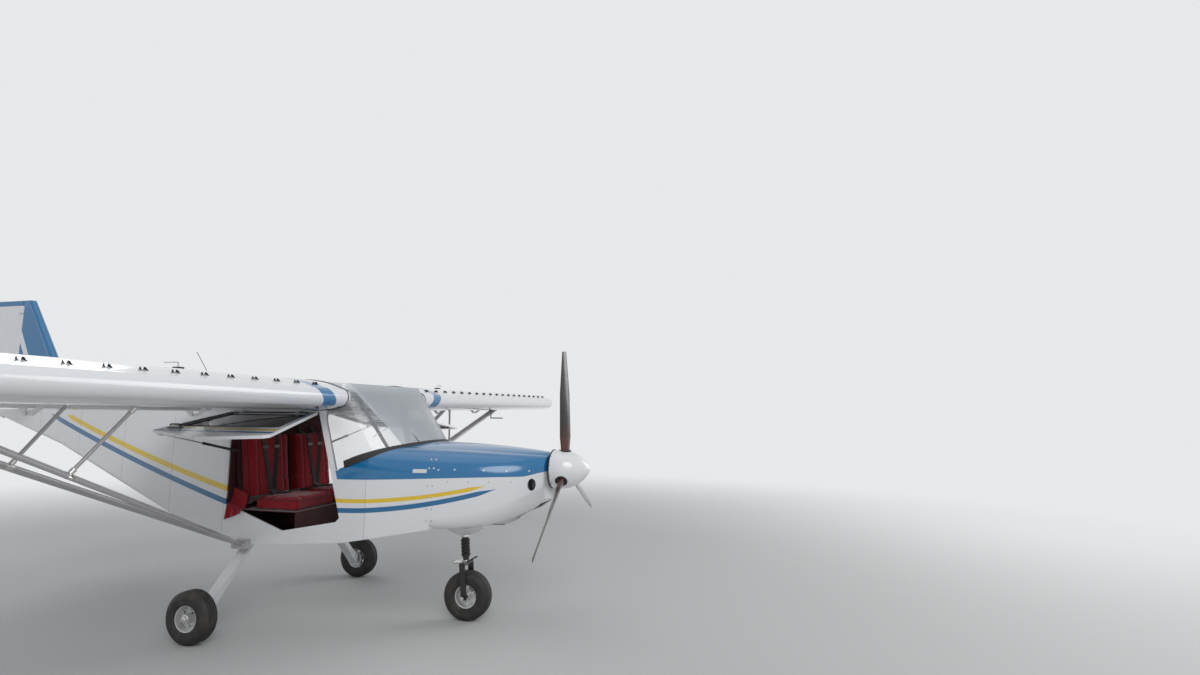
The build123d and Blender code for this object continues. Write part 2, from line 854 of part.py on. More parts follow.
def spinner_profile():
    # Half of the spinner's section, by radius and distance forward.
    wall = spinner_wall
    back = -spinner_back
    step = back + spinner_skirt
    plate = back + spinner_plate
    bore = hub_radius + 1
    bulge = (spinner_radius * spinner_bulge[0], spinner_reach * spinner_bulge[1])
    tip = spinner_reach - spinner_tip_share * wall
    return make_face(Wire([
        ThreePointArc((spinner_radius, step), bulge, (0, spinner_reach)),
        Line((0, spinner_reach), (0, tip)),
        ThreePointArc((0, tip), (bulge[0] - wall, bulge[1] - wall), (spinner_radius - wall, step)),
        Line((spinner_radius - wall, step), (spinner_radius - wall, plate)),
        Line((spinner_radius - wall, plate), (bore, plate)),
        Line((bore, plate), (bore, back)),
        Line((bore, back), (spinner_radius, back)),
        Line((spinner_radius, back), (spinner_radius, step)),
    ]))


def save_propeller():
    centre = at(0, 0, hub_height)
    plate = spinner_back - spinner_plate
    whole = rod(at(spinner_back, 0, hub_height), at(-hub_front, 0, hub_height), hub_radius)
    whole = whole + rod(at(plate, 0, hub_height), at(plate - spinner_plate, 0, hub_height), hub_radius + hub_flange)
    whole = whole + rod(at(engine_front + shaft_depth, 0, hub_height), at(0, 0, hub_height), shaft_radius)
    profile_plane = Plane(origin=centre, x_dir=(0, 1, 0), z_dir=(0, 0, -1))
    spinner = revolve(profile_plane * spinner_profile(), axis=Axis(centre, (1, 0, 0)))
    one = blade()
    hole = rod(Vector(0, 0, blade_hole_start), Vector(0, 0, blade_hole_end), blade_hole_radius)
    for angle in blade_angles:
        turn = Pos(centre) * Rot(angle - 90, 0, 0)
        whole = whole + turn * one
        spinner = spinner - turn * hole
    save(whole, "propeller")
    save(largest(spinner), "spinner")


def wheel(centre, radius, width, bore):
    # A tyre and its rim, turned about the axle.
    plane = Plane(origin=centre, x_dir=(0, 1, 0), z_dir=(1, 0, 0))
    axis = Axis(centre, (0, 1, 0))
    half = width / 2
    rim = rim_radius
    section = Pos(0, (rim + radius) / 2) * Rectangle(width, radius - rim)
    section = fillet(section.vertices().sort_by(Axis.Y)[2:], half * tyre_round_share)
    section = fillet(section.vertices().sort_by(Axis.Y)[:2], tyre_bead_round)
    tyre = revolve(plane * section, axis=axis)
    hub_half = half - wheel_hub_inset
    well = rim - rim_wall
    right_half = [
        (half - rim_flange, rim), (half - rim_flange - 2, well), (rim_wall, well - rim_dish),
        (rim_wall, wheel_hub_radius + 4), (hub_half, wheel_hub_radius), (hub_half, bore),
    ]
    left_half = [(-side, up) for side, up in reversed(right_half)]
    rim_part = revolve(plane * outline(right_half + left_half), axis=axis)
    for turn in range(0, 360, wheel_hole_step):
        angle = radians(turn)
        place = centre + Vector(sin(angle), 0, cos(angle)) * (wheel_hub_radius + rim) * wheel_hole_share
        through = Vector(0, half, 0)
        rim_part = rim_part - rod(place + through, place - through, wheel_hole_radius)
    return tyre, rim_part


def save_main_gear():
    top = belly_low_height
    thick = leaf_thickness
    wheel_centre = at(main_axle_station, -main_wheel_side, main_wheel_radius)
    slope = atan2(top - thick - main_wheel_radius, leaf_end_side - leaf_flat_side)
    shift = thick * tan(slope / 2)
    high_end = main_wheel_radius + leaf_end_above
    low_end = main_wheel_radius - leaf_end_below
    half = [
        (0, top), (leaf_flat_side + shift, top), (leaf_end_side, high_end),
        (leaf_end_side + leaf_foot, high_end), (leaf_end_side + leaf_foot, low_end),
        (leaf_end_side - leaf_foot_inset, low_end), (leaf_flat_side, top - thick), (0, top - thick),
    ]
    plane = station_plane(main_axle_station + leaf_chord / 2)
    leaf = extrude(plane * outline([(-side, height) for side, height in half]), amount=leaf_chord)
    axle_start = wheel_centre + Vector(0, main_wheel_side - leaf_end_side, 0)
    axle_end = wheel_centre - Vector(0, main_tyre_width / 2 + 2, 0)
    right_leg = leaf + rod(axle_start, axle_end, main_axle_radius)
    gear = right_leg + mirrored(right_leg)
    save(gear, "main_gear")
    tyre, rim = wheel(wheel_centre, main_wheel_radius, main_tyre_width, main_axle_radius + pin_gap)
    pair(tyre, "main_tyre")
    pair(rim, "main_rim")
    return gear


def nose_axis():
    # The nose wheel's centre, and the direction up its raked leg.
    centre = at(nose_axle_station, 0, nose_wheel_radius)
    return centre, Vector(-sin(radians(nose_rake)), 0, cos(radians(nose_rake)))


def save_nose_gear(cabin, cowl_outer):
    centre, up = nose_axis()
    fore = Vector(up.Z, 0, -up.X)
    plane = Plane(origin=centre, x_dir=(0, 1, 0), z_dir=fore)
    outer = fork_side + fork_thickness
    crown_high = fork_crown + fork_crown_depth
    arch = outline([
        (outer, -fork_toe), (fork_side, -fork_toe), (fork_side, fork_crown), (-fork_side, fork_crown),
        (-fork_side, -fork_toe), (-outer, -fork_toe), (-outer, crown_high), (outer, crown_high),
    ])
    fork = Pos(-fore * (fork_chord / 2)) * extrude(plane * arch, amount=fork_chord)
    axle_end = Vector(0, outer + tow_peg_length, 0)
    fork = fork + rod(centre - axle_end, centre + axle_end, nose_axle_radius)
    stem_top = centre + up * (nose_tube_high - nose_stem_short)
    fork = fork + rod(centre + up * fork_crown, stem_top, nose_stem_radius)
    fork = fork + rod(centre + up * crown_high, centre + up * (nose_tube_low - nose_tube_seam), nose_tube_radius)
    save(fork, "nose_fork")
    tyre, rim = wheel(centre, nose_wheel_radius, nose_tyre_width, nose_axle_radius + pin_gap)
    save(tyre, "nose_tyre")
    save(rim, "nose_rim")
    low = centre + up * nose_tube_low
    high = centre + up * nose_tube_high
    tube = rod(low, high, nose_tube_radius)
    for height in nose_arm_heights:
        tube = tube + block(firewall_station - nose_arm_reach, firewall_station, -nose_arm_half, nose_arm_half,
                            height, height + nose_arm_depth)
    save(tube - rod(low - up, high - up * nose_bore_short, nose_stem_radius + pin_gap), "nose_leg")

    faces = []
    for station, half_width, depth in blister_rows:
        base = blister_base
        wire = Wire([
            ThreePointArc((-half_width, base), (0, base - depth - blister_belly), (half_width, base)),
            Line((half_width, base), (-half_width, base)),
        ])
        faces.append(station_plane(station) * make_face(wire))
    blister = loft(faces) - cowl_outer - rod(low - up, high, nose_tube_radius + blister_clearance)
    save(largest(largest(blister) - cabin["belly"] - cabin["firewall"]), "nose_fairing")


def save_doors():
    hinge = Axis(at(0, -door_hinge_side, door_hinge_height), (1, 0, 0))
    outer_side = -cabin_half_width
    inner_side = outer_side + side_wall
    middle = outer_side + side_wall / 2
    panel = side_slab(door_outline(door_gap), outer_side, inner_side)
    frame = panel - side_slab(door_window(), outer_side - 1, inner_side + 1)
    pane = side_slab(door_window(), middle - door_glass / 2, middle + door_glass / 2)
    head_low = door_hinge_height - gas_head_reach
    head_side = gas_head_inset - door_hinge_side
    tab_front = gas_station + gas_tab_rear
    tab = block(tab_front, tab_front + gas_tab, inner_side, head_side + gas_tab_spare,
                head_low - gas_tab_half, head_low + gas_tab_half)
    start = at(tab_front + gas_tab / 2, head_side, head_low)
    frame = frame + tab + rod(start, start + Vector(gas_head_stud, 0, 0), gas_stud_radius)
    length = door_knuckle - 2 * seat_gap
    for station in door_hinge_stations:
        strap = block(station - length / 2, station + length / 2, -door_hinge_side - strap_outset, outer_side,
                      door_hinge_height - strap_reach, door_hinge_height)
        knuckle = strap + hinge_knuckle(station, length, knuckle_radius)
        frame = frame + (knuckle - hinge_knuckle(station, door_knuckle * 2, knuckle_pin_radius + pin_gap))
    pair(frame.rotate(hinge, -door_open_angle), "door")
    pair(pane.rotate(hinge, -door_open_angle), "door_glass")


def gas_points():
    # Foot on the bulkhead, then the head with the door open and with it shut, for the right side.
    foot = at(gas_station, -gas_foot_side, door_hinge_height - gas_foot_drop)
    shut = at(gas_station, gas_head_inset - door_hinge_side, door_hinge_height - gas_head_reach)
    turn = radians(door_open_angle)
    side = gas_head_inset * cos(turn) - gas_head_reach * sin(turn)
    rise = -gas_head_reach * cos(turn) - gas_head_inset * sin(turn)
    return foot, Vector(shut.X, side - door_hinge_side, rise + door_hinge_height), shut


def save_gas_struts():
    foot, head, shut = gas_points()
    line = (head - foot).normalized()
    short = (shut - foot).length
    travel = (head - foot).length - short
    width = Vector(gas_eye_half, 0, 0)
    barrel_end = short - gas_eye_radius - gas_barrel_short
    tube = rod(foot + line * (gas_eye_radius - 2), foot + line * barrel_end, gas_barrel_radius)
    barrel = rod(foot - width, foot + width, gas_eye_radius) + tube
    bore_start = foot + line * (gas_eye_radius + gas_bore_start)
    barrel = barrel - rod(bore_start, foot + line * short, gas_rod_radius + pin_gap)
    pair(barrel - rod(foot - width * 2, foot + width * 2, gas_stud_radius + pin_gap), "gas_barrel")
    rod_start = foot + line * (gas_eye_radius + gas_rod_start + travel)
    shaft = rod(rod_start, head, gas_rod_radius) + rod(head - width, head + width, gas_eye_radius)
    pair(shaft - rod(head - width * 2, head + width * 2, gas_stud_radius + pin_gap), "gas_rod")


def fin_face(front, back, thickness):
    # A thin symmetric section: round nose, flat taper to the hinge line, drawn by station and side.
    half = thickness / 2
    nose = front + half * nose_share
    rear = half * rear_share
    return make_face(Wire([
        ThreePointArc((nose, -half), (front, 0), (nose, half)),
        Line((nose, half), (back, rear)),
        Line((back, rear), (back, -rear)),
        Line((back, -rear), (nose, -half)),
    ]))


def surface_face(front, back, thickness):
    # A moving surface: round nose, straight taper to a thin edge.
    half = thickness / 2
    return make_face(Wire([
        ThreePointArc((front + half, -half), (front, 0), (front + half, half)),
        Line((front + half, half), (back, edge_half)),
        Line((back, edge_half), (back, -edge_half)),
        Line((back, -edge_half), (front + half, -half)),
    ]))


def tail_solid(wall):
    faces = []
    for station, half_width, low, high in tail_sections:
        size = RectangleRounded((half_width - wall) * 2, high - low - wall * 2, tail_corner - wall)
        faces.append(station_plane(station) * (Pos(0, (low + high) / 2) * size))
    return loft(faces, ruled=True)


def save_tail():
    outer = tail_solid(0)
    inner = tail_solid(tail_wall)
    tail_end = tail_sections[-1][0]
    cone = (outer - inner) + (outer & block(tail_end - tail_wall, tail_end, -far, far, 0, far))
    hinge_right = at(elevator_hinge_station, -elevator_inner_side, stabiliser_height)
    hinge_left = at(elevator_hinge_station, elevator_inner_side, stabiliser_height)
    save(cone - rod(hinge_right, hinge_left, elevator_tube_radius + pin_gap), "tail_cone")
    save_fin(outer, tail_end)

    rear = elevator_hinge_station - stabiliser_rear_gap
    section = Pos(0, stabiliser_height) * fin_face(stabiliser_front, rear, stabiliser_thickness)
    pair(largest(side_slab(section, -tail_half_span, 0) - outer), "stabiliser")

    nose = elevator_hinge_station - stabiliser_thickness * elevator_nose_share
    section = surface_face(nose, elevator_end, stabiliser_thickness * elevator_depth_share)
    panel = side_slab(Pos(0, stabiliser_height) * section, -tail_half_span, -elevator_inner_side)
    over = Vector(0, elevator_tube_overlap, 0)
    save(panel + rod(hinge_right - over, hinge_left + over, elevator_tube_radius) + mirrored(panel), "elevator")


def save_fin(tail_outer, tail_end):
    back = rudder_hinge_station - fin_rear_gap
    foot = Pos(0, 0, fin_root_height - fin_foot_depth) * (plan_plane * fin_face(fin_root_front, back, fin_root_thickness))
    head = Pos(0, 0, fin_top_height) * (plan_plane * fin_face(fin_top_front, back, fin_top_thickness))
    fin = largest(loft([foot, head], ruled=True) - tail_outer)
    front = rudder_hinge_station - rudder_nose_radius
    section = plan_plane * surface_face(front, rudder_end_station, 2 * rudder_nose_radius)
    rudder = Pos(0, 0, rudder_low_height) * extrude(section, amount=rudder_low_height - fin_top_height)
    low_pin = rudder_low_height + rudder_pin_inset[0]
    high_pin = fin_top_height - rudder_pin_inset[1]
    hinge = rudder_hinge_station
    for height in (low_pin, (low_pin + high_pin) / 2, high_pin):
        slot = block(hinge - rudder_slot_front, hinge + rudder_slot_rear, -far, far,
                     height - rudder_slot_half, height + rudder_slot_half)
        spare = rudder_slot_half + 1
        pin = rod(at(hinge, 0, height - spare), at(hinge, 0, height + spare), rudder_pin_radius)
        rudder = (rudder - slot) + pin
        lug = block(hinge - rudder_lug_reach, hinge, -rudder_lug_half_width, rudder_lug_half_width,
                    height - rudder_lug_half, height + rudder_lug_half)
        lug = lug + rod(at(hinge, 0, height - rudder_lug_half), at(hinge, 0, height + rudder_lug_half), rudder_lug_radius)
        lug = lug - rod(at(hinge, 0, height - spare), at(hinge, 0, height + spare), rudder_pin_radius + pin_gap)
        if height == low_pin:
            save(lug & block(tail_end, far, -far, far, 0, far), "rudder_foot")
        else:
            fin = fin + (lug & block(back - 2, far, -far, far, 0, far))
    save(fin, "fin")
    save(rudder, "rudder")


def soft_block(points):
    slab = side_slab(outline(points), -seat_outer_side, -seat_inner_side)
    return fillet(slab.edges(), cushion_round)


def save_seats(cabin):
    sheet = seat_sheet
    pan = side_slab(outline([
        (seat_front_station, belly_low_height), (seat_front_station + sheet, belly_low_height),
        (seat_front_station + sheet, seat_height - sheet), (riser_foot + riser_thickness, seat_height - sheet),
        (cabin_end_station - bulkhead_thickness, back_top_height), (riser_top, back_top_height),
        (riser_foot, seat_height), (seat_front_station, seat_height),
    ]), -seat_outer_side - seat_pan_overhang, seat_outer_side + seat_pan_overhang)
    save(largest(pan - cabin["belly"]), "seat_pan")
    low = seat_height + seat_gap
    high = low + cushion_thickness
    rear = seat_back_station - cushion_rear_gap
    pair(soft_block([(seat_front_station, low), (rear, low), (rear, high), (seat_front_station, high)]), "seat_cushion")
    lean = (riser_top - riser_foot) / (back_top_height - seat_height)
    foot = low + back_foot_rise
    crest = back_top_height - back_crest_drop
    foot_rear = riser_foot + lean * (foot - seat_height) - seat_gap
    crest_rear = riser_foot + lean * (crest - seat_height) - seat_gap
    pair(soft_block([
        (foot_rear - back_thickness, foot), (foot_rear, foot), (crest_rear, crest), (crest_rear - back_thickness, crest),
    ]), "seat_back")


def save_panel(cabin):
    back = screen_foot_height(panel_station) - shelf_drop
    front = screen_foot_height(shelf_station) - shelf_drop
    board = outline([
        (panel_station + panel_thickness, panel_low), (panel_station + panel_thickness, back),
        (shelf_station, front), (shelf_station, front - panel_thickness),
        (panel_station, back - panel_thickness), (panel_station, panel_low),
    ])
    panel = side_slab(board, -cabin_half_width, cabin_half_width)
    save(largest(panel - cabin["deck"] - cabin["side"] - mirrored(cabin["side"])), "instrument_panel")


def save_stick(cabin):
    def place(point, sign):
        return at(point[0], point[1] * sign, point[2])

    stick = rod(at(stick_foot_station, 0, belly_low_height), at(*stick_fork), stick_radius)
    for sign in (-1, 1):
        elbow = place(stick_elbow, sign)
        stick = stick + rod(at(*stick_fork), elbow, stick_fork_radius)
        stick = stick + rod(elbow, place(stick_grip, sign), stick_radius)
    save(largest(stick - cabin["belly"]), "control_stick")


def save_roof_frame(cabin):
    def tube(start, start_side, end, end_side, radius):
        return rod(at(start[0], start_side, start[-1]), at(end[0], end_side, end[-1]), radius)

    tubes = tube(frame_front, -frame_front[1], frame_front, frame_front[1], frame_front_radius)
    tubes = tubes + tube(frame_rear, -frame_rear[1], frame_rear, frame_rear[1], frame_rear_radius)
    for sign in (-1, 1):
        rail = sign * frame_rail_side
        brace = sign * frame_brace_side
        tubes = tubes + tube(frame_front, rail, frame_rear, rail, frame_brace_radius)
        tubes = tubes + tube(frame_front, brace, frame_brace_foot, brace, frame_brace_radius)
    tubes = tubes - block(0, panel_station + panel_thickness, -far, far, 0, far)
    save(largest(tubes) - cabin["skin"], "roof_frame")


def save_wing(cabin, gear):
    bare = wing_loft()
    whole = bare
    for plate in wing_brackets():
        whole = whole + largest(plate - bare)
    pair(whole, "wing")
    pair(flaperon_right(), "flaperon")

    foot = at(strut_foot[0], -strut_foot[1], strut_foot[2])
    struts = None
    bars = ((strut_front_top, jury_front_top), (strut_rear_top, jury_rear_top))
    for strut_top, jury_top in bars:
        top = at(strut_top[0], -strut_top[1], strut_top[2])
        line = top - foot
        bar = flat_bar(foot, top + line.normalized() * strut_sink, strut_width, strut_depth)
        start = foot + line * jury_share
        end = at(jury_top[0], -jury_top[1], jury_top[2])
        brace = rod(start, end + (end - start).normalized() * jury_sink, jury_radius)
        struts = bar + brace if struts is None else struts + bar + brace
    struts = struts + block(strut_foot[0] - fitting_half_length, strut_foot[0] + fitting_half_length,
                            -strut_foot[1] - fitting_reach, -cabin_half_width,
                            strut_foot[2] - fitting_below, strut_foot[2] + fitting_above)
    struts = struts - bare - cabin["side"] - gear - block(0, far, -cabin_half_width, cabin_half_width, 0, strut_foot[2] * 2)
    pair(largest(struts), "wing_struts")
    return bare


def save_tank_caps(wing):
    top = wing_height + wing_crest[1] + wing_rise(cap_side)
    sunk = at(cap_station, -cap_side, top - cap_radius)
    seat = at(cap_station, -cap_side, top + cap_flange)
    crown = at(cap_station, -cap_side, top + cap_rise)
    bend = at(cap_station, -cap_side, top + vent_rise)
    vent_end = at(cap_station, -cap_side - vent_reach, top + vent_rise - vent_droop)
    cap = rod(sunk, seat, cap_flange_radius) + rod(sunk, crown, cap_radius)
    cap = cap + rod(sunk, bend, vent_radius) + Pos(bend) * Sphere(vent_radius) + rod(bend, vent_end, vent_radius)
    pair(largest(cap - wing), "tank_cap")


def save_air_probe(wing):
    top = wing_height + wing_belly[1] + wing_rise(probe_side)
    low = top - probe_drop
    inside = top + wing_crest[1] / 2
    mast_top = at(probe_station, probe_side, inside)
    mast_low = at(probe_station, probe_side, low)
    foot = block(probe_station - probe_foot_length / 2, probe_station + probe_foot_length / 2,
                 probe_side - probe_foot_width / 2, probe_side + probe_foot_width / 2, top - probe_foot, inside)
    probe = foot + rod(mast_top, mast_low, probe_radius) + Pos(mast_low) * Sphere(probe_radius)
    probe = probe + rod(mast_low, at(probe_station - probe_reach, probe_side, low), probe_radius)
    parts = (probe - mirrored(wing)).solids()
    save(sorted(parts, key=lambda solid: solid.bounding_box().min.Z)[0], "air_probe")


def save_antenna():
    outer = tail_solid(0)
    low_run = (antenna_station - tail_sections[1][0]) / (tail_sections[2][0] - tail_sections[1][0])
    skin = tail_sections[1][3] + (tail_sections[2][3] - tail_sections[1][3]) * low_run
    foot = at(antenna_station, 0, skin - antenna_base)
    tip = at(antenna_tip[0], 0, antenna_tip[1])
    whip = rod(foot, tip, antenna_radius) + rod(foot, at(antenna_station, 0, skin + antenna_base), antenna_base_radius)
    parts = (whip - outer).solids()
    save(sorted(parts, key=lambda solid: solid.bounding_box().max.Z)[-1], "antenna")


cabin = save_cabin()
leg_foot, leg_up = nose_axis()
leg_hole = rod(leg_foot + leg_up * nose_tube_low, leg_foot + leg_up * nose_tube_high,
               nose_tube_radius + nose_hole_clearance)
cowl_outer = save_cowl(leg_hole)
save_engine()
save_propeller()
gear = save_main_gear()
save_nose_gear(cabin, cowl_outer)
save_doors()
save_gas_struts()
save_tail()
save_seats(cabin)
save_panel(cabin)
save_stick(cabin)
save_roof_frame(cabin)
wing = save_wing(cabin, gear)
save_tank_caps(wing)
save_air_probe(wing)
save_antenna()
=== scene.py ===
import math
import random

import bmesh
import bpy
from mathutils import Matrix, Vector
from mathutils.bvhtree import BVHTree


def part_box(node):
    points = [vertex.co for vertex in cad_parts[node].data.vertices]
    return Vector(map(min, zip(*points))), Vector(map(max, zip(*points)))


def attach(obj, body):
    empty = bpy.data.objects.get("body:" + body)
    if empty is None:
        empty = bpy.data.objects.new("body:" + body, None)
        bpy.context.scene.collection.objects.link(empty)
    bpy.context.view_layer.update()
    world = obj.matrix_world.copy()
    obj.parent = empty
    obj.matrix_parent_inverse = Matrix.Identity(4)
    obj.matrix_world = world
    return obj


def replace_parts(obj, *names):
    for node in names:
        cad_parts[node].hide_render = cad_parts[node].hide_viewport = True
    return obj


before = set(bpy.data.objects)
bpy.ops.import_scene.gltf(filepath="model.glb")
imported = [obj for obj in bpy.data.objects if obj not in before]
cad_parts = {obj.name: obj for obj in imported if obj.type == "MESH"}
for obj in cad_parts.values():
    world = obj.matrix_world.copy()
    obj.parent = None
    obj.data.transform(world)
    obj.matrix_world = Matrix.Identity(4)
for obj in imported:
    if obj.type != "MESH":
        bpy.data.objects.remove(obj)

# High-wing two-seat microlight on tricycle gear, both doors swung up under the wing.
# Places are given as spot(station, side, height): metres aft of the propeller, left of centre, above ground.

random.seed(7)
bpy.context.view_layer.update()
datum = 2.880
print("frame loaded:", len(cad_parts), "nodes")


def spot(station, side, height):
    return Vector((datum - station, side, height))


class Signal:  # one socket, so that shader maths reads as plain sums
    def __init__(self, look, socket):
        self.look = look
        self.socket = socket

    def sum(self, how, *values):
        return self.look.node("ShaderNodeMath", {"operation": how}, dict(enumerate(values)))

    def __add__(self, other):
        return self.sum("ADD", self, other)

    def __sub__(self, other):
        return self.sum("SUBTRACT", self, other)

    def __rsub__(self, other):
        return self.sum("SUBTRACT", other, self)

    def __mul__(self, other):
        return self.sum("MULTIPLY", self, other)

    def __truediv__(self, other):
        return self.sum("DIVIDE", self, other)

    def __rtruediv__(self, other):
        return self.sum("DIVIDE", other, self)

    def __lt__(self, other):
        return self.sum("LESS_THAN", self, other)

    def __gt__(self, other):
        return self.sum("GREATER_THAN", self, other)

    def __pow__(self, other):
        return self.sum("POWER", self, other)

    def __abs__(self):
        return self.sum("ABSOLUTE", self)

    def __mod__(self, other):
        return self.sum("FLOORED_MODULO", self, other)

    def least(self, other):
        return self.sum("MINIMUM", self, other)

    def most(self, other):
        return self.sum("MAXIMUM", self, other)

    __radd__ = __add__
    __rmul__ = __mul__


class Look:  # one material while it is being put together
    def __init__(self, name, tree=None):
        if tree is None:
            self.material = bpy.data.materials.new(name)
            self.material.use_nodes = True
            tree = self.material.node_tree
        self.tree = tree
        self.tree.nodes.clear()
        self.place = self.node("ShaderNodeTexCoord", out="Object")

    def node(self, kind, settings=None, values=None, out=0):
        made = self.tree.nodes.new(kind)
        for name, setting in (settings or {}).items():
            setattr(made, name, setting)
        for name, value in (values or {}).items():
            if isinstance(value, Signal):
                self.tree.links.new(value.socket, made.inputs[name])
            else:
                made.inputs[name].default_value = value
        return Signal(self, made.outputs[out]) if made.outputs else None

    def axes(self, place=None):
        split = self.node("ShaderNodeSeparateXYZ", values={0: place or self.place})
        return [Signal(self, split.socket.node.outputs[i]) for i in range(3)]

    def stretched(self, x, y, z):
        return self.node("ShaderNodeVectorMath", {"operation": "MULTIPLY"}, {0: self.place, 1: (x, y, z)})

    def turned(self, centre, degrees):
        return self.node("ShaderNodeVectorRotate", {"rotation_type": "X_AXIS"},
                         {"Vector": self.place, "Center": centre, "Angle": math.radians(degrees)})

    def noise(self, scale, detail=3.0, rough=0.55, place=None):
        return self.node("ShaderNodeTexNoise", values={
            "Vector": place or self.place, "Scale": scale, "Detail": detail, "Roughness": rough})

    def cells(self, scale, place=None):
        return self.node("ShaderNodeTexVoronoi", values={"Vector": place or self.place, "Scale": scale})

    def ease(self, value, low, high, start=0.0, end=1.0):
        return self.node("ShaderNodeMapRange", {"interpolation_type": "SMOOTHSTEP"}, {
            "Value": value, "From Min": low, "From Max": high, "To Min": start, "To Max": end})

    def fade(self, value, low, high):  # 1 below low, 0 above high
        return self.ease(value, low, high, 1.0, 0.0)

    def blend(self, mask, under, over):
        return self.node("ShaderNodeMix", {"data_type": "RGBA"}, {0: mask, 6: under, 7: over}, out=2)

    def line(self, value, centre, half, soft=0.0015):  # 1 on the line, 0 off it
        return self.fade(abs(value - centre), half, half + soft)

    def inside(self, value, low, high, soft=0.002):
        return self.ease(value, low - soft, low + soft) * self.fade(value, high - soft, high + soft)

    def done(self, colour, rough, metal=0.0, coat=0.0, height=None, depth=0.001, plain=None):
        values = {"Base Color": colour, "Roughness": rough, "Metallic": metal, "Coat Weight": coat}
        if height is not None:
            values["Normal"] = self.node("ShaderNodeBump", values={"Height": height, "Distance": depth})
        values.update(plain or {})
        shader = self.node("ShaderNodeBsdfPrincipled", values=values)
        self.node("ShaderNodeOutputMaterial", values={"Surface": shader})
        return self.material


def ink(red, green, blue):
    return (red, green, blue, 1.0)


# Paint
livery = {
    "white": ink(0.80, 0.81, 0.83),
    "blue": ink(0.005, 0.165, 0.385),
    "stripeBlue": ink(0.010, 0.15, 0.33),
    "yellow": ink(0.82, 0.56, 0.02),
    "dust": ink(0.42, 0.36, 0.27),
    "seam": ink(0.10, 0.10, 0.11),
    "lining": ink(0.055, 0.008, 0.010),
    # stations of the sheet joints, and heights of the long ones
    "joints": (1.300, 2.480, 3.060, 3.640, 4.210, 4.790),
    "rivetPitch": 0.040,
    "rivetRadius": 0.0024,
}


def dirtyWhite(look, base, amount=0.5):
    x, y, z = look.axes()
    broad = look.noise(1.7, 4.0, 0.6)
    fine = look.noise(42.0, 3.0, 0.6)
    streak = look.noise(9.0, 3.0, 0.6, look.stretched(0.35, 1.0, 1.6))
    mask = (look.ease(broad, 0.45, 0.75) * 0.10 + look.ease(streak, 0.55, 0.8) * 0.07) * amount
    low = look.fade(z, 0.55, 0.95) * look.ease(streak, 0.35, 0.7) * 0.22 * amount  # thrown-up dust
    colour = look.blend(mask + low, base, livery["dust"])
    rough = 0.16 + look.ease(broad, 0.4, 0.8) * 0.09 + look.ease(fine, 0.5, 0.8) * 0.05 + low * 0.9
    return colour, rough, fine


def rivetRows(look, along, rowsAt, value, pitch, radius):  # domed heads in rows beside each joint
    phase = abs(((along + pitch * 0.5) % pitch) - pitch * 0.5)
    heads = None
    for row in rowsAt:
        gap = (phase * phase + (value - row) * (value - row)) ** 0.5
        head = look.fade(gap, radius * 0.45, radius * 1.25)
        heads = head if heads is None else heads.most(head)
    return heads


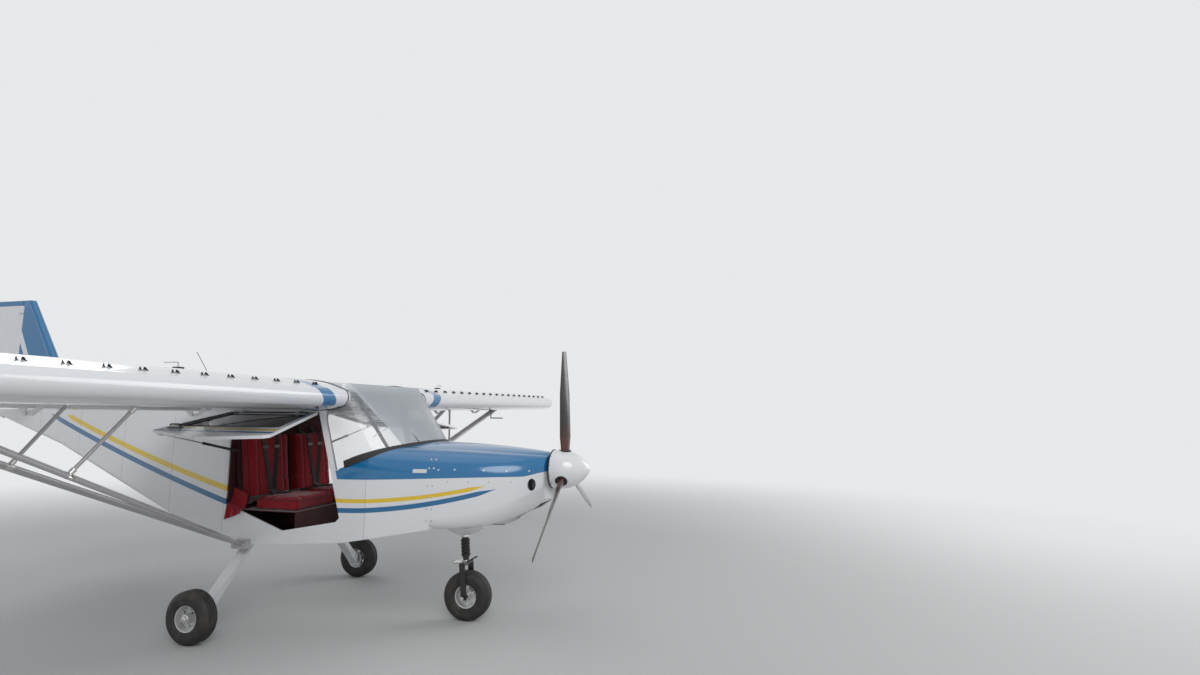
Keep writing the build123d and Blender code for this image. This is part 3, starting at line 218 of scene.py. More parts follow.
def hullPaint(name):
    look = Look(name)
    x, y, z = look.axes()
    station = datum - x
    colour, rough, fine = dirtyWhite(look, livery["white"])
    # blue above the cheat line, back to the door pillar
    split = 1.104 - look.ease(station, 0.25, 1.55) * 0.034 + look.fade(station, 0.09, 0.24) * 0.028
    pillar = 1.458 + (z - 0.800) * 0.282 - look.ease(z, 1.128, 1.136) * 0.030
    above = look.ease(z - split, -0.0015, 0.0015) * look.fade(station - pillar, -0.0015, 0.0015)
    # stripes that sweep up at the front and run up the tail
    yellowFront = station * station * 0.1136 - station * 0.3396 + 1.1746
    blueFront = station * station * 0.1244 - station * 0.3863 + 1.1532
    yellowAft = station * station * 0.0308 + station * 0.0577 + 0.6475
    blueAft = station * station * 0.0240 + station * 0.1180 + 0.4430
    bands = (
        (yellowFront, 0.440, 1.56, 0.0140, 0.14, "yellow"),
        (blueFront, 0.372, 1.56, 0.0170, 0.16, "stripeBlue"),
        (yellowAft, 2.300, 4.42, 0.0215, 0.10, "yellow"),
        (blueAft, 2.300, 4.66, 0.0210, 0.16, "stripeBlue"),
    )
    colour = look.blend(above, colour, livery["blue"])
    for middle, start, end, half, taper, paint in bands:
        if start < 1.0:
            width = look.ease(station, start, start + taper) * half
            mask = look.fade(abs(z - middle) - width, -0.0008, 0.0008) * look.fade(station, end, end + 0.004)
        else:
            width = look.fade(station, end - taper, end) * half
            mask = look.fade(abs(z - middle) - width, -0.0008, 0.0008) * look.ease(station, start,
                                                                                   start + 0.004)
        colour = look.blend(mask, colour, livery[paint])
    # sheet joints and their rivets
    seams = None
    for place in livery["joints"]:
        gap = look.line(station, place, 0.0006, 0.0010)
        seams = gap if seams is None else seams.most(gap)
    heads = rivetRows(look, z, [p + d for p in livery["joints"] for d in (-0.014, 0.014)], station,
                      livery["rivetPitch"], livery["rivetRadius"])
    aftOnly = look.ease(station, 1.2, 1.22)
    colour = look.blend(seams * aftOnly * 0.75, colour, livery["seam"])
    # dark red lining on the inner faces of the cabin
    wall = look.node("ShaderNodeMapRange", values={"Value": station, "From Min": 0.84, "From Max": 1.30,
                                                   "To Min": 0.488, "To Max": 0.556})
    sole = look.ease(station, 0.84, 1.48) * -0.111 + look.ease(station, 1.48, 2.28) * -0.054 + 0.752
    ceiling = look.ease(station, 1.545, 1.555) * 0.640 + 1.060
    lining = look.fade(abs(y) - wall, -0.001, 0.001) * look.ease(z - sole, -0.001,
                                                                 0.001) * look.fade(z - ceiling, -0.001,
                                                                                    0.001)
    lining = lining * look.inside(station, 0.862, 2.474)
    weave = look.noise(240.0, 2.0, 0.7)
    colour = look.blend(lining, colour, livery["lining"])
    rough = rough + lining * 0.55
    relief = fine * 0.02 + heads * aftOnly * 0.9 - seams * aftOnly * 0.8 + lining * weave * 0.3
    return look.done(colour, rough, coat=(1 - lining) * 0.6, height=relief, depth=0.0012,
                     plain={"Coat Roughness": 0.06, "Specular IOR Level": 0.5})


def doorPaint(name, sign):  # the same stripes, worked out with the door swung shut
    look = Look(name)
    closed = look.turned((0.0, -0.570 * sign, 1.550), 79.3 * sign)
    x, y, z = look.axes(closed)
    station = datum - x
    colour, rough, fine = dirtyWhite(look, livery["white"], 0.4)
    outer = look.ease(y * -sign, 0.5665, 0.5675)
    rise = look.ease(station, 1.50, 2.45)
    yellowMid = 0.920 + rise * 0.058
    blueMid = 0.853 + rise * 0.022
    for middle, half, paint in ((yellowMid, 0.019, "yellow"), (blueMid, 0.019, "stripeBlue")):
        mask = look.fade(abs(z - middle) - half, -0.0008, 0.0008) * outer
        colour = look.blend(mask, colour, livery[paint])
    heads = rivetRows(look, station, (0.995, 1.528), z, 0.06, 0.0025)
    return look.done(colour, rough, coat=0.5, height=fine * 0.02 + heads * 0.8, depth=0.001,
                     plain={"Coat Roughness": 0.08})


def wingPaint(name, belt=True):
    look = Look(name)
    x, y, z = look.axes()
    station = datum - x
    colour, rough, fine = dirtyWhite(look, livery["white"])
    side = abs(y)
    if belt:  # slanted blue belt just outboard of the root
        middle = 0.775 + (z - 1.630) * 0.72
        mask = look.fade(abs(side - middle) - 0.070, -0.001, 0.001) * look.fade(station, 1.83, 1.835)
        colour = look.blend(mask, colour, livery["blue"])
    # rib lines and the spar line, with rivets
    pitch = 0.370
    phase = abs(((side - 0.570 + pitch * 0.5) % pitch) - pitch * 0.5)
    along = abs((station % 0.045) - 0.0225)
    ribHeads = look.fade((phase * phase + along * along) ** 0.5, 0.0012, 0.0030) * look.ease(station, 1.50,
                                                                                             1.505)
    acrossRun = abs((side % 0.045) - 0.0225)
    spar = abs(station - 1.830)
    rear = abs(station - 2.450)
    sparHeads = look.fade((acrossRun * acrossRun + spar * spar) ** 0.5, 0.0012, 0.0030)
    rearHeads = look.fade((acrossRun * acrossRun + rear * rear) ** 0.5, 0.0012, 0.0030)
    seam = look.line(station, 1.842, 0.0006, 0.001)
    colour = look.blend(seam * 0.6, colour, livery["seam"])
    sag = look.ease(phase, 0.0, pitch * 0.5) * 0.25  # skin dips a little between ribs
    relief = ribHeads.most(sparHeads).most(rearHeads) * 0.6 - seam * 0.6 + fine * 0.02 - sag
    return look.done(colour, rough, coat=0.6, height=relief, depth=0.0014, plain={"Coat Roughness": 0.07})


def finPaint(name):
    look = Look(name)
    x, y, z = look.axes()
    station = datum - x
    colour, rough, fine = dirtyWhite(look, livery["white"], 0.4)
    slant = station - (z - 2.040) * 0.507  # both blue bands lean a little less than the leading edge
    ahead = look.fade(station, 5.386, 5.388)
    nose = look.fade(slant, 5.257, 5.259)
    slash = look.inside(slant, 5.318, 5.372, 0.001)
    top = look.ease(z, 2.521, 2.523)
    colour = look.blend((nose.most(slash) * ahead).most(top), colour, livery["blue"])
    heads = rivetRows(look, z, (5.365, 5.445), station, 0.05, 0.0025)
    ribs = rivetRows(look, station, (1.78, 2.02, 2.26, 2.46), z, 0.05, 0.0025)
    return look.done(colour, rough, coat=0.6, height=heads.most(ribs) * 0.7 + fine * 0.02, depth=0.0012,
                     plain={"Coat Roughness": 0.07})


def tailPaint(name, hinge):
    look = Look(name)
    x, y, z = look.axes()
    station = datum - x
    colour, rough, fine = dirtyWhite(look, livery["white"], 0.5)
    side = abs(y)
    ribs = rivetRows(look, station, (0.16, 0.43, 0.70, 0.97, 1.235), side, 0.045, 0.0024)
    spar = rivetRows(look, side, (hinge,), station, 0.045, 0.0024)
    tips = look.ease(side, 1.205, 1.207)
    colour = look.blend(tips, colour, livery["blue"])
    return look.done(colour, rough, coat=0.6, height=ribs.most(spar) * 0.7 + fine * 0.02, depth=0.0012,
                     plain={"Coat Roughness": 0.07})


def glassLook(name, tint, low, high, scuff=0.05):  # clear sheet: mostly see-through, shiny at a glance
    look = Look(name)
    haze = look.ease(look.noise(2.6, 4.0, 0.6), 0.45, 0.8) * scuff
    specks = look.fade(look.cells(140.0), 0.0, 0.10) * look.ease(look.noise(9.0), 0.5, 0.7) * 0.25
    edge = look.node("ShaderNodeLayerWeight", values={"Blend": 0.35}, out="Fresnel")
    cover = low + look.ease(edge, 0.02, 0.9) * (high - low) + haze + specks
    shader = look.node("ShaderNodeBsdfPrincipled", values={
        "Base Color": tint, "Roughness": 0.05 + haze * 1.2, "Metallic": 0.0, "Alpha": cover.least(1.0),
        "Specular IOR Level": 0.9, "Coat Weight": 1.0, "Coat Roughness": 0.02, "IOR": 1.49})
    look.node("ShaderNodeOutputMaterial", values={"Surface": shader})
    return look.material


def paintedMetal(name, colour, rough, metal=0.0, wear=0.35, coat=0.3):
    look = Look(name)
    x, y, z = look.axes()
    grain = look.noise(60.0, 3.0, 0.6)
    chips = look.ease(look.noise(26.0, 5.0, 0.7), 0.66, 0.72) * wear
    grime = look.ease(look.noise(5.0, 4.0, 0.6), 0.4, 0.8) * 0.35
    shade = look.blend(grime, colour, tuple(0.72 * c for c in colour[:3]) + (1.0,))
    shade = look.blend(chips, shade, ink(0.45, 0.43, 0.40))
    return look.done(shade, rough + grime * 0.12 + chips * 0.2, metal=metal, coat=coat,
                     height=grain * 0.05 - chips * 0.4, depth=0.0006, plain={"Coat Roughness": 0.12})


def bareMetal(name, colour, rough, brushed=(1.0, 1.0, 60.0)):
    look = Look(name)
    lines = look.noise(8.0, 4.0, 0.65, look.stretched(*brushed))
    spots = look.ease(look.noise(30.0, 4.0, 0.6), 0.55, 0.8)
    shade = look.blend(spots * 0.35, colour, tuple(0.6 * c for c in colour[:3]) + (1.0,))
    return look.done(shade, rough + lines * 0.12 + spots * 0.1, metal=1.0, height=lines * 0.05, depth=0.0004)


def rubberLook(name, colour=ink(0.022, 0.021, 0.021), dust=0.3):
    look = Look(name)
    x, y, z = look.axes()
    dirt = look.ease(look.noise(14.0, 4.0, 0.65), 0.45, 0.75) * dust
    pores = look.noise(220.0, 2.0, 0.6)
    shade = look.blend(dirt, colour, ink(0.16, 0.13, 0.09))
    return look.done(shade, 0.62 + dirt * 0.3, height=pores * 0.15, depth=0.0005)


def weaveLook(name, colour, second, pitch, fuzz=0.35):  # woven upholstery, warp and weft at the real pitch
    look = Look(name)
    x, y, z = look.axes()
    turn = 2 * math.pi / pitch
    across = (y * turn).sum("SINE", y * turn)
    run = (x + z) * turn
    along = run.sum("SINE", run)
    check = across * along
    broad = look.noise(7.0, 4.0, 0.6)
    fuzzMap = look.noise(160.0, 2.0, 0.7)
    shade = look.blend(look.ease(check, -0.8, 0.8) * 0.45, colour, second)
    shade = look.blend(look.ease(broad, 0.45, 0.8) * 0.3, shade, tuple(0.6 * c for c in colour[:3]) + (1.0,))
    return look.done(shade, 0.82 + fuzzMap * 0.12, height=check * 0.35 + fuzzMap * fuzz, depth=0.0008,
                     plain={"Sheen Weight": 0.45, "Sheen Roughness": 0.4, "Specular IOR Level": 0.25})


def mouldedLook(name, colour, rough=0.55, grainSize=180.0, coat=0.0):
    look = Look(name)
    grain = look.noise(grainSize, 3.0, 0.6)
    broad = look.ease(look.noise(4.0, 3.0, 0.6), 0.4, 0.8)
    shade = look.blend(broad * 0.3, colour, tuple(min(1.0, 1.6 * c + 0.01) for c in colour[:3]) + (1.0,))
    return look.done(shade, rough + broad * 0.12, coat=coat, height=grain * 0.3, depth=0.0005)


def bladeLook(name, colour, rootColour):  # dark composite that turns red-brown towards the hub
    look = Look(name)
    x, y, z = look.axes()
    radius = (y * y + (z - 1.140) * (z - 1.140)) ** 0.5
    grain = look.noise(90.0, 3.0, 0.6)
    broad = look.ease(look.noise(5.0, 3.0, 0.6), 0.4, 0.8)
    nicks = look.ease(look.noise(70.0, 4.0, 0.7), 0.68, 0.74) * look.ease(radius, 0.5, 0.85) * 0.5
    shade = look.blend(look.fade(radius, 0.16, 0.36), colour, rootColour)
    shade = look.blend(nicks, shade, ink(0.20, 0.18, 0.16))
    return look.done(shade, 0.26 + broad * 0.12 + nicks * 0.3, coat=0.5, height=grain * 0.15 - nicks * 0.4,
                     depth=0.0005,
                     plain={"Coat Roughness": 0.10})


looks = {
    "hull": hullPaint("hullPaint"),
    "doorRight": doorPaint("doorPaintRight", 1),
    "doorLeft": doorPaint("doorPaintLeft", -1),
    "wing": wingPaint("wingPaint"),
    "flaperon": wingPaint("flaperonPaint", belt=False),
    "fin": finPaint("finPaint"),
    "stabiliser": tailPaint("stabiliserPaint", 5.170),
    "elevator": tailPaint("elevatorPaint", 5.250),
    "screen": glassLook("screenSheet", ink(0.78, 0.82, 0.86), 0.16, 0.85, 0.10),
    "roofGlass": glassLook("roofSheet", ink(0.60, 0.64, 0.66), 0.38, 0.90, 0.10),
    # door sheets: the dark tint and high cover are painted shade, standing for the shaded wing underside seen
    # through them
    "doorGlass": glassLook("doorSheet", ink(0.10, 0.085, 0.075), 0.62, 0.95, 0.06),
    "strut": paintedMetal("strutGrey", ink(0.48, 0.47, 0.48), 0.30, metal=0.35, wear=0.2),
    "gearWhite": paintedMetal("gearWhite", ink(0.74, 0.75, 0.76), 0.26, wear=0.25),
    "blackSteel": paintedMetal("blackSteel", ink(0.018, 0.018, 0.020), 0.36, wear=0.25),
    "rim": paintedMetal("rimPaint", ink(0.62, 0.62, 0.62), 0.30, metal=0.5, wear=0.2),
    "bright": bareMetal("brightSteel", ink(0.75, 0.74, 0.72), 0.16),
    "alloy": bareMetal("alloySheet", ink(0.55, 0.56, 0.57), 0.34),
    "engine": bareMetal("castCase", ink(0.20, 0.20, 0.205), 0.52, (1, 1, 1)),
    "rubber": rubberLook("blackRubber", dust=0.12),
    "tyre": rubberLook("tyreRubber"),
    "blade": bladeLook("bladeComposite", ink(0.016, 0.013, 0.013), ink(0.085, 0.016, 0.012)),
    "spinner": mouldedLook("spinnerShell", ink(0.82, 0.83, 0.84), 0.22, 40.0, coat=0.7),
    "redCloth": weaveLook("redCloth", ink(0.31, 0.010, 0.018), ink(0.20, 0.007, 0.012), 0.0042),
    "darkCloth": weaveLook("darkCloth", ink(0.075, 0.010, 0.012), ink(0.045, 0.008, 0.010), 0.0042),
    "webbing": weaveLook("webbing", ink(0.02, 0.02, 0.022), ink(0.05, 0.05, 0.055), 0.0026, 0.2),
    "black": mouldedLook("blackMoulding", ink(0.014, 0.014, 0.015)),
    "plateWhite": mouldedLook("whiteTrim", ink(0.72, 0.73, 0.74), 0.30, 60.0, coat=0.4),
    "dialFace": mouldedLook("dialFace", ink(0.008, 0.008, 0.010), 0.40, 300.0),
    "screenGlow": mouldedLook("displayGlass", ink(0.03, 0.05, 0.045), 0.12, 200.0, coat=1.0),
    "panel": mouldedLook("panelCrackle", ink(0.020, 0.020, 0.022), 0.6, 320.0),
}
print("looks made:", len(looks))

finishGroups = {
    "hull": ("belly", "cabin_side_*", "cowl_lower", "cowl_upper", "nose_deck", "tail_cone",
             "nose_fairing"),
    "blackSteel": ("control_stick", "engine_mount", "gas_barrel_*", "nose_fork", "nose_leg",
                   "roof_frame", "rudder_foot", "antenna", "air_probe"),
    "doorGlass": ("door_glass_*",),
    "doorLeft": ("door_left",),
    "doorRight": ("door_right",),
    "elevator": ("elevator",),
    "engine": ("engine_block",),
    "fin": ("fin", "rudder"),
    "alloy": ("firewall", "tank_cap_*"),
    "flaperon": ("flaperon_*",),
    "bright": ("gas_rod_*",),
    "panel": ("instrument_panel",),
    "gearWhite": ("main_gear",),
    "rim": ("main_rim_*", "nose_rim"),
    "tyre": ("main_tyre_*", "nose_tyre"),
    "blade": ("propeller",),
    "darkCloth": ("rear_bulkhead", "seat_pan"),
    "wing": ("roof_skin", "root_rib_*", "wing_*"),
    "roofGlass": ("roof_window",),
    "redCloth": ("seat_back_*", "seat_cushion_*"),
    "spinner": ("spinner",),
    "stabiliser": ("stabiliser_*",),
    "screen": ("windscreen",),
    "strut": ("wing_struts_*",),
}
finishes = {name.replace("*", side): look for look, names in finishGroups.items()
            for name in names for side in ("left", "right")}
for name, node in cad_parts.items():
    node.data.materials.clear()
    node.data.materials.append(looks[finishes[name]])
print("nodes finished:", len(finishes))

slotOf = {
    "redCloth": "red_fabric", "darkCloth": "trim_fabric", "webbing": "trim_fabric", "tyre": "tyre_rubber",
    "rubber": "tyre_rubber", "black": "panel_black", "panel": "panel_black", "bright": "bright_steel",
    "alloy": "rim_metal", "rim": "rim_metal", "strut": "strut_metal", "blackSteel": "black_steel",
    "wing": "white_foil", "plateWhite": "white_foil",
}


class Shape:  # gathers points and faces until they become one piece
    def __init__(self):
        self.points = []
        self.faces = []
        self.shades = []

    def skin(self, rows, shade=0, ring=False, closed=True, ends=True):  # faces between equal rows of points
        start = len(self.points)
        count = len(rows[0])
        for row in rows:
            self.points += [Vector(p) for p in row]
        for i in range(len(rows) if ring else len(rows) - 1):
            low = start + i * count
            high = start + ((i + 1) % len(rows)) * count
            for j in range(count if closed else count - 1):
                k = (j + 1) % count
                self.faces.append((low + j, low + k, high + k, high + j))
                self.shades.append(shade)
        if closed and ends and not ring:
            top = start + (len(rows) - 1) * count
            self.faces += [tuple(start + j for j in range(count)), tuple(top + j for j in range(count))]
            self.shades += [shade, shade]

    # a section of (across, up) carried along a path
    def swept(self, path, section, up=None, shade=0, ring=False):
        path = [Vector(p) for p in path]
        rows = []
        normal = Vector(up) if up else None
        for i, point in enumerate(path):
            before = path[i - 1] if i or ring else point
            after = path[(i + 1) % len(path)] if i < len(path) - 1 or ring else point
            run = (after - before).normalized()
            if normal is None:
                normal = run.orthogonal()
            normal = (normal - run * normal.dot(run)).normalized()
            across = run.cross(normal)
            rows.append([point + across * a + normal * b for a, b in section])
        self.skin(rows, shade, ring)

    def tube(self, path, radius, sides=10, shade=0, ring=False):
        turns = [math.tau * i / sides for i in range(sides)]
        self.swept(path, [(math.cos(t) * radius, math.sin(t) * radius) for t in turns], None, shade, ring)

    def strap(self, path, width, thick, up, shade=0):
        w, h = width / 2, thick / 2
        e = h * 0.6
        section = [(w, 0), (w - e, h), (-w + e, h), (-w, 0), (-w + e, -h), (w - e, -h)]
        self.swept(path, section, up, shade)

    def lathe(self, centre, axis, profile, sides=28, shade=0, ring=False):  # profile of (along, radius)
        centre, axis = Vector(centre), Vector(axis).normalized()
        one = axis.orthogonal().normalized()
        two = axis.cross(one)
        turns = [math.tau * i / sides for i in range(sides)]
        rows = [[centre + axis * along + (one * math.cos(t) + two * math.sin(t)) * max(radius, 0.00005)
                 for t in turns] for along, radius in profile]
        self.skin(rows, shade, ring)

    def plank(self, centre, along, across, size, edge=0.002, shade=0):  # a bar with broken edges
        centre, along = Vector(centre), Vector(along).normalized()
        across = Vector(across)
        across = (across - along * across.dot(along)).normalized()
        up = along.cross(across)
        half, wide, tall = (s / 2 for s in size)
        rows = []
        for run, inset in ((-half, edge), (edge - half, 0.0), (half - edge, 0.0), (half, edge)):
            w, h = wide - inset, tall - inset
            corners = [(w, h - edge), (w - edge, h), (edge - w, h), (-w, h - edge),
                       (-w, edge - h), (edge - w, -h), (w - edge, -h), (w, edge - h)]
            rows.append([centre + along * run + across * a + up * b for a, b in corners])
        self.skin(rows, shade)

    def plate(self, corners, through, shade=0):  # a flat plate of any outline
        corners = [Vector(c) for c in corners]
        through = Vector(through)
        self.skin([corners, [c + through for c in corners]], shade)

    def bolt(self, centre, axis, radius=0.006, tall=0.004, shade=0, sides=6):
        self.lathe(centre, axis, [(-0.001, radius), (tall * 0.8, radius), (tall, radius * 0.82)], sides,
                   shade)

    def screw(self, centre, axis, radius=0.005, shade=0):  # a low domed head
        self.lathe(centre, axis,
                   [(-0.001, radius), (0.0008, radius), (0.0020, radius * 0.7), (0.0024, 0.0)], 12, shade)

    def made(self, name, body, *shades, flip=False, crease=32):
        mesh = bpy.data.meshes.new(name)
        points = [Vector((p.x, -p.y, p.z)) if flip else p for p in self.points]
        mesh.from_pydata(points, [], self.faces)
        solid = bmesh.new()
        solid.from_mesh(mesh)
        for face, shade in zip(solid.faces, self.shades):
            face.material_index = shade
            face.smooth = True
        bmesh.ops.recalc_face_normals(solid, faces=solid.faces)
        solid.to_mesh(mesh)
        solid.free()
        mesh.set_sharp_from_angle(angle=math.radians(crease))
        for shade in shades:
            mesh.materials.append(looks[shade])
        piece = bpy.data.objects.new(name, mesh)
        bpy.context.collection.objects.link(piece)
        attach(piece, body)
        shades[0] in slotOf
        return piece

    def both(self, name, body, *shades, crease=32):  # drawn for the right side, mirrored to the left
        right = self.made(name + "Right", body.replace("*", "right"), *shades, crease=crease)
        left = self.made(name + "Left", body.replace("*", "left"), *shades, flip=True, crease=crease)
        return right, left


def treeOf(meshes):  # faces to set pieces down on
    points, faces = [], []
    for mesh in meshes:
        start = len(points)
        points += [v.co.copy() for v in mesh.vertices]
        faces += [tuple(start + i for i in p.vertices) for p in mesh.polygons]
    return BVHTree.FromPolygons(points, faces)


def nodeTree(*names):
    return treeOf([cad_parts[name].data for name in names])


def landed(tree, start, way, lift=0.0):  # where a straight line first meets the faces
    start, way = Vector(start), Vector(way).normalized()
    place, normal = tree.ray_cast(start, way)[:2]
    if place is None:
        return None, None
    if normal.dot(way) > 0:
        normal = -normal
    return place + normal * lift, normal


def arcThrough(a, b, c, count):  # points on the circle through three, from a to c
    (ax, ay), (bx, by), (cx, cy) = a, b, c
    d = 2 * (ax * (by - cy) + bx * (cy - ay) + cx * (ay - by))
    aa, bb, cc = ax * ax + ay * ay, bx * bx + by * by, cx * cx + cy * cy
    ux = (aa * (by - cy) + bb * (cy - ay) + cc * (ay - by)) / d
    uy = (aa * (cx - bx) + bb * (ax - cx) + cc * (bx - ax)) / d
    r = math.hypot(ax - ux, ay - uy)
    t0, t1, t2 = (math.atan2(y - uy, x - ux) for x, y in (a, b, c))
    full = (t2 - t0) % math.tau
    if (t1 - t0) % math.tau > full:
        full -= math.tau
    return [(ux + r * math.cos(t0 + full * i / count), uy + r * math.sin(t0 + full * i / count))
            for i in range(count + 1)]


def rounded(corners, radius, steps=4, close=True):  # a path with its corners rounded
    corners = [Vector(c) for c in corners]
    path = []
    for i, corner in enumerate(corners):
        if not close and i in (0, len(corners) - 1):
            path.append(corner)
            continue
        before = corners[i - 1] - corner
        after = corners[(i + 1) % len(corners)] - corner
        cut = min(radius, before.length * 0.45, after.length * 0.45)
        start, end = corner + before.normalized() * cut, corner + after.normalized() * cut
        for k in range(steps + 1):
            t = k / steps
            path.append(start * (1 - t) ** 2 + corner * 2 * t * (1 - t) + end * t * t)
    return path


# Seats: foam pads blown up a little inside their covers
pads = {
    "seatCushion": {
        "node": "seat_cushion", "voxel": 0.008, "shrink": 0.007, "pressure": 4.0, "swell": 0.013,
        "fill": 0.75,
        "seat": (0.0, 0.0, 0.8155), "below": (0.0, 0.0, -1.0), "face": (0.0, 0.0, 1.0),
        "channels": (("y", -0.125), ("y", -0.405), ("x", 0.760)), "depth": 0.009, "width": 0.0075,
    },
    "seatBack": {
        "node": "seat_back", "voxel": 0.008, "shrink": 0.007, "pressure": 4.0, "swell": 0.013, "fill": 0.7,
        "seat": (0.4940, 0.0, 0.8150), "below": (-1.0, 0.0, -0.1252), "face": (1.0, 0.0, 0.125),
        "channels": (("y", -0.125), ("y", -0.405), ("z", 1.02), ("z", 1.20)), "depth": 0.009, "width": 0.0075,
    },
}


def frozen(piece):  # the piece's mesh with its modifiers in it
    ready = piece.evaluated_get(bpy.context.evaluated_depsgraph_get())
    return bpy.data.meshes.new_from_object(ready)


def blownPad(name, pad):
    low, high = (Vector(c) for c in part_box(pad["node"] + "_right"))
    middle = (low + high) / 2
    piece = bpy.data.objects.new(name + "Right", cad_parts[pad["node"] + "_right"].data.copy())
    bpy.context.collection.objects.link(piece)
    keep = Vector([1 - 2 * pad["shrink"] / s for s in (high - low)])
    for vertex in piece.data.vertices:
        vertex.co = middle + (vertex.co - middle) * keep
    remesh = piece.modifiers.new("remesh", "REMESH")
    remesh.mode = "VOXEL"
    remesh.voxel_size = pad["voxel"]
    piece.data = frozen(piece)
    piece.modifiers.clear()
    start = [v.co.copy() for v in piece.data.vertices]
    cloth = piece.modifiers.new("cloth", "CLOTH")
    cloth.settings.use_pressure = True
    cloth.settings.uniform_pressure_force = pad["pressure"]
    cloth.settings.effector_weights.gravity = 0.0
    cloth.settings.quality = 5
    cloth.point_cache.frame_end = 20
    for count in range(1, 21):
        bpy.context.scene.frame_set(count)
    swollen = frozen(piece)
    moved = [v.co.copy() for v in swollen.vertices]
    piece.modifiers.clear()
    bpy.context.scene.frame_set(1)
    base, below = Vector(pad["seat"]), Vector(pad["below"]).normalized()
    facing = Vector(pad["face"]).normalized()
    for vertex, was, now in zip(piece.data.vertices, start, moved):
        step = now - was
        if step.length > pad["swell"]:
            step = step.normalized() * pad["swell"]
        place = was + step
        frontal = max(0.0, vertex.normal.dot(facing))
        for axis, at in pad["channels"]:
            gap = (place["xyz".index(axis)] - at) / pad["width"]
            place = place - facing * (pad["depth"] * frontal * math.exp(-gap * gap))
        over = (place - base).dot(below)
        if over > -0.0005:
            place = place - below * (over + 0.0005)
        for i in range(3):
            place[i] = min(max(place[i], low[i] - 0.006), high[i] + 0.010)
        vertex.co = place
    smooth = piece.modifiers.new("smooth", "SUBSURF")
    smooth.levels = smooth.render_levels = 1
    piece.data = frozen(piece)
    piece.modifiers.clear()
    piece.data.materials.clear()
    piece.data.materials.append(looks["redCloth"])
    for polygon in piece.data.polygons:
        polygon.use_smooth = True
    twin = bpy.data.objects.new(name + "Left", piece.data.copy())
    bpy.context.collection.objects.link(twin)
    for vertex in twin.data.vertices:
        vertex.co.y = -vertex.co.y
    twin.data.flip_normals()
    for padShape, side in ((piece, "right"), (twin, "left")):
        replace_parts(padShape, f"{pad['node']}_{side}")
        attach(padShape, "root")
    return piece


cushion = blownPad("seatCushion", pads["seatCushion"])
back = blownPad("seatBack", pads["seatBack"])
cushionTree = treeOf([cushion.data])
backTree = treeOf([back.data])
print("seats blown up")

# Piping round the pads, and the belts lying on them
trims = {"pipe": 0.0034, "strapWidth": 0.046, "strapThick": 0.0022, "shoulderSides": (-0.345, -0.185)}
piping = Shape()
low, high = (Vector(c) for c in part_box("seat_cushion_right"))
edge = rounded([(low.x, low.y, high.z - 0.012), (high.x, low.y, high.z - 0.012),
                (high.x, high.y, high.z - 0.012),
                (low.x, high.y, high.z - 0.012)], 0.035, 5)
dense = [a.lerp(b, k / 6) for a, b in zip(edge, edge[1:] + edge[:1]) for k in range(6)]
piping.tube([cushionTree.find_nearest(p)[0] for p in dense], trims["pipe"], 8, ring=True)
low, high = (Vector(c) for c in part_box("seat_back_right"))
leanOf = 0.1252
front = [(0.494 - leanOf * (z - 0.815) + 0.080 - 0.012, y, z) for y, z in
         ((low.y, low.z), (high.y, low.z), (high.y, high.z), (low.y, high.z))]
edge = rounded(front, 0.035, 5)
dense = [a.lerp(b, k / 6) for a, b in zip(edge, edge[1:] + edge[:1]) for k in range(6)]
piping.tube([backTree.find_nearest(p)[0] for p in dense], trims["pipe"], 8, ring=True)
piping.both("seatPiping", "root", "darkCloth")

belts = Shape()
for side in trims["shoulderSides"]:
    path = [spot(2.462, side, 1.405), spot(2.452, side, 1.412)]
    crown = landed(backTree, spot(2.415, side, 1.6), (0, 0, -1), 0.003)[0]
    path.append(crown if crown else spot(2.415, side, 1.395))
    for k in range(14):
        height = 1.355 - k * 0.032
        target = side + (-0.265 - side) * (k / 13) * 0.8
        place = landed(backTree, spot(1.9, target, height), (-1, 0, 0), 0.003)[0]
        if place:
            path.append(place)
    for station, shift in ((2.276, 0.016), (2.250, 0.014), (2.220, 0.012)):
        place = landed(cushionTree, spot(station, -0.265 + math.copysign(shift, side + 0.265), 1.2),
                       (0, 0, -1), 0.005)[0]
        if place:
            path.append(place)
    belts.strap(path, trims["strapWidth"], trims["strapThick"], (1, 0, 1))
lap = [spot(2.30, -0.508, 0.862), spot(2.290, -0.507, 0.905)]
for k in range(17):
    side = -0.490 + k * 0.45 / 16
    place = landed(cushionTree, spot(2.235 - 0.05 * math.sin(math.pi * k / 16), side, 1.2), (0, 0, -1),
                   0.003)[0]
    if place:
        lap.append(place)
lap.append(spot(2.290, -0.024, 0.905))
lap.append(spot(2.300, -0.023, 0.862))
belts.strap(lap, trims["strapWidth"], trims["strapThick"], (0, 0, 1))
buckle = landed(cushionTree, spot(2.186, -0.265, 1.2), (0, 0, -1), 0.010)[0]
belts.plank(buckle, (0, 1, 0), (1, 0, 0), (0.075, 0.052, 0.013), 0.003, 1)
belts.plank(buckle + Vector((0, 0, 0.0075)), (0, 1, 0), (1, 0, 0), (0.022, 0.034, 0.006), 0.0015, 2)
for side in trims["shoulderSides"]:
    slider = landed(backTree, spot(1.9, side + (-0.265 - side) * 0.22, 1.27), (-1, 0, 0), 0.006)[0]
    belts.plank(slider, (0, 1, 0), (0, 0, 1), (0.060, 0.026, 0.005), 0.0015, 1)
belts.both("seatBelts", "root", "webbing", "blackSteel", "bright")

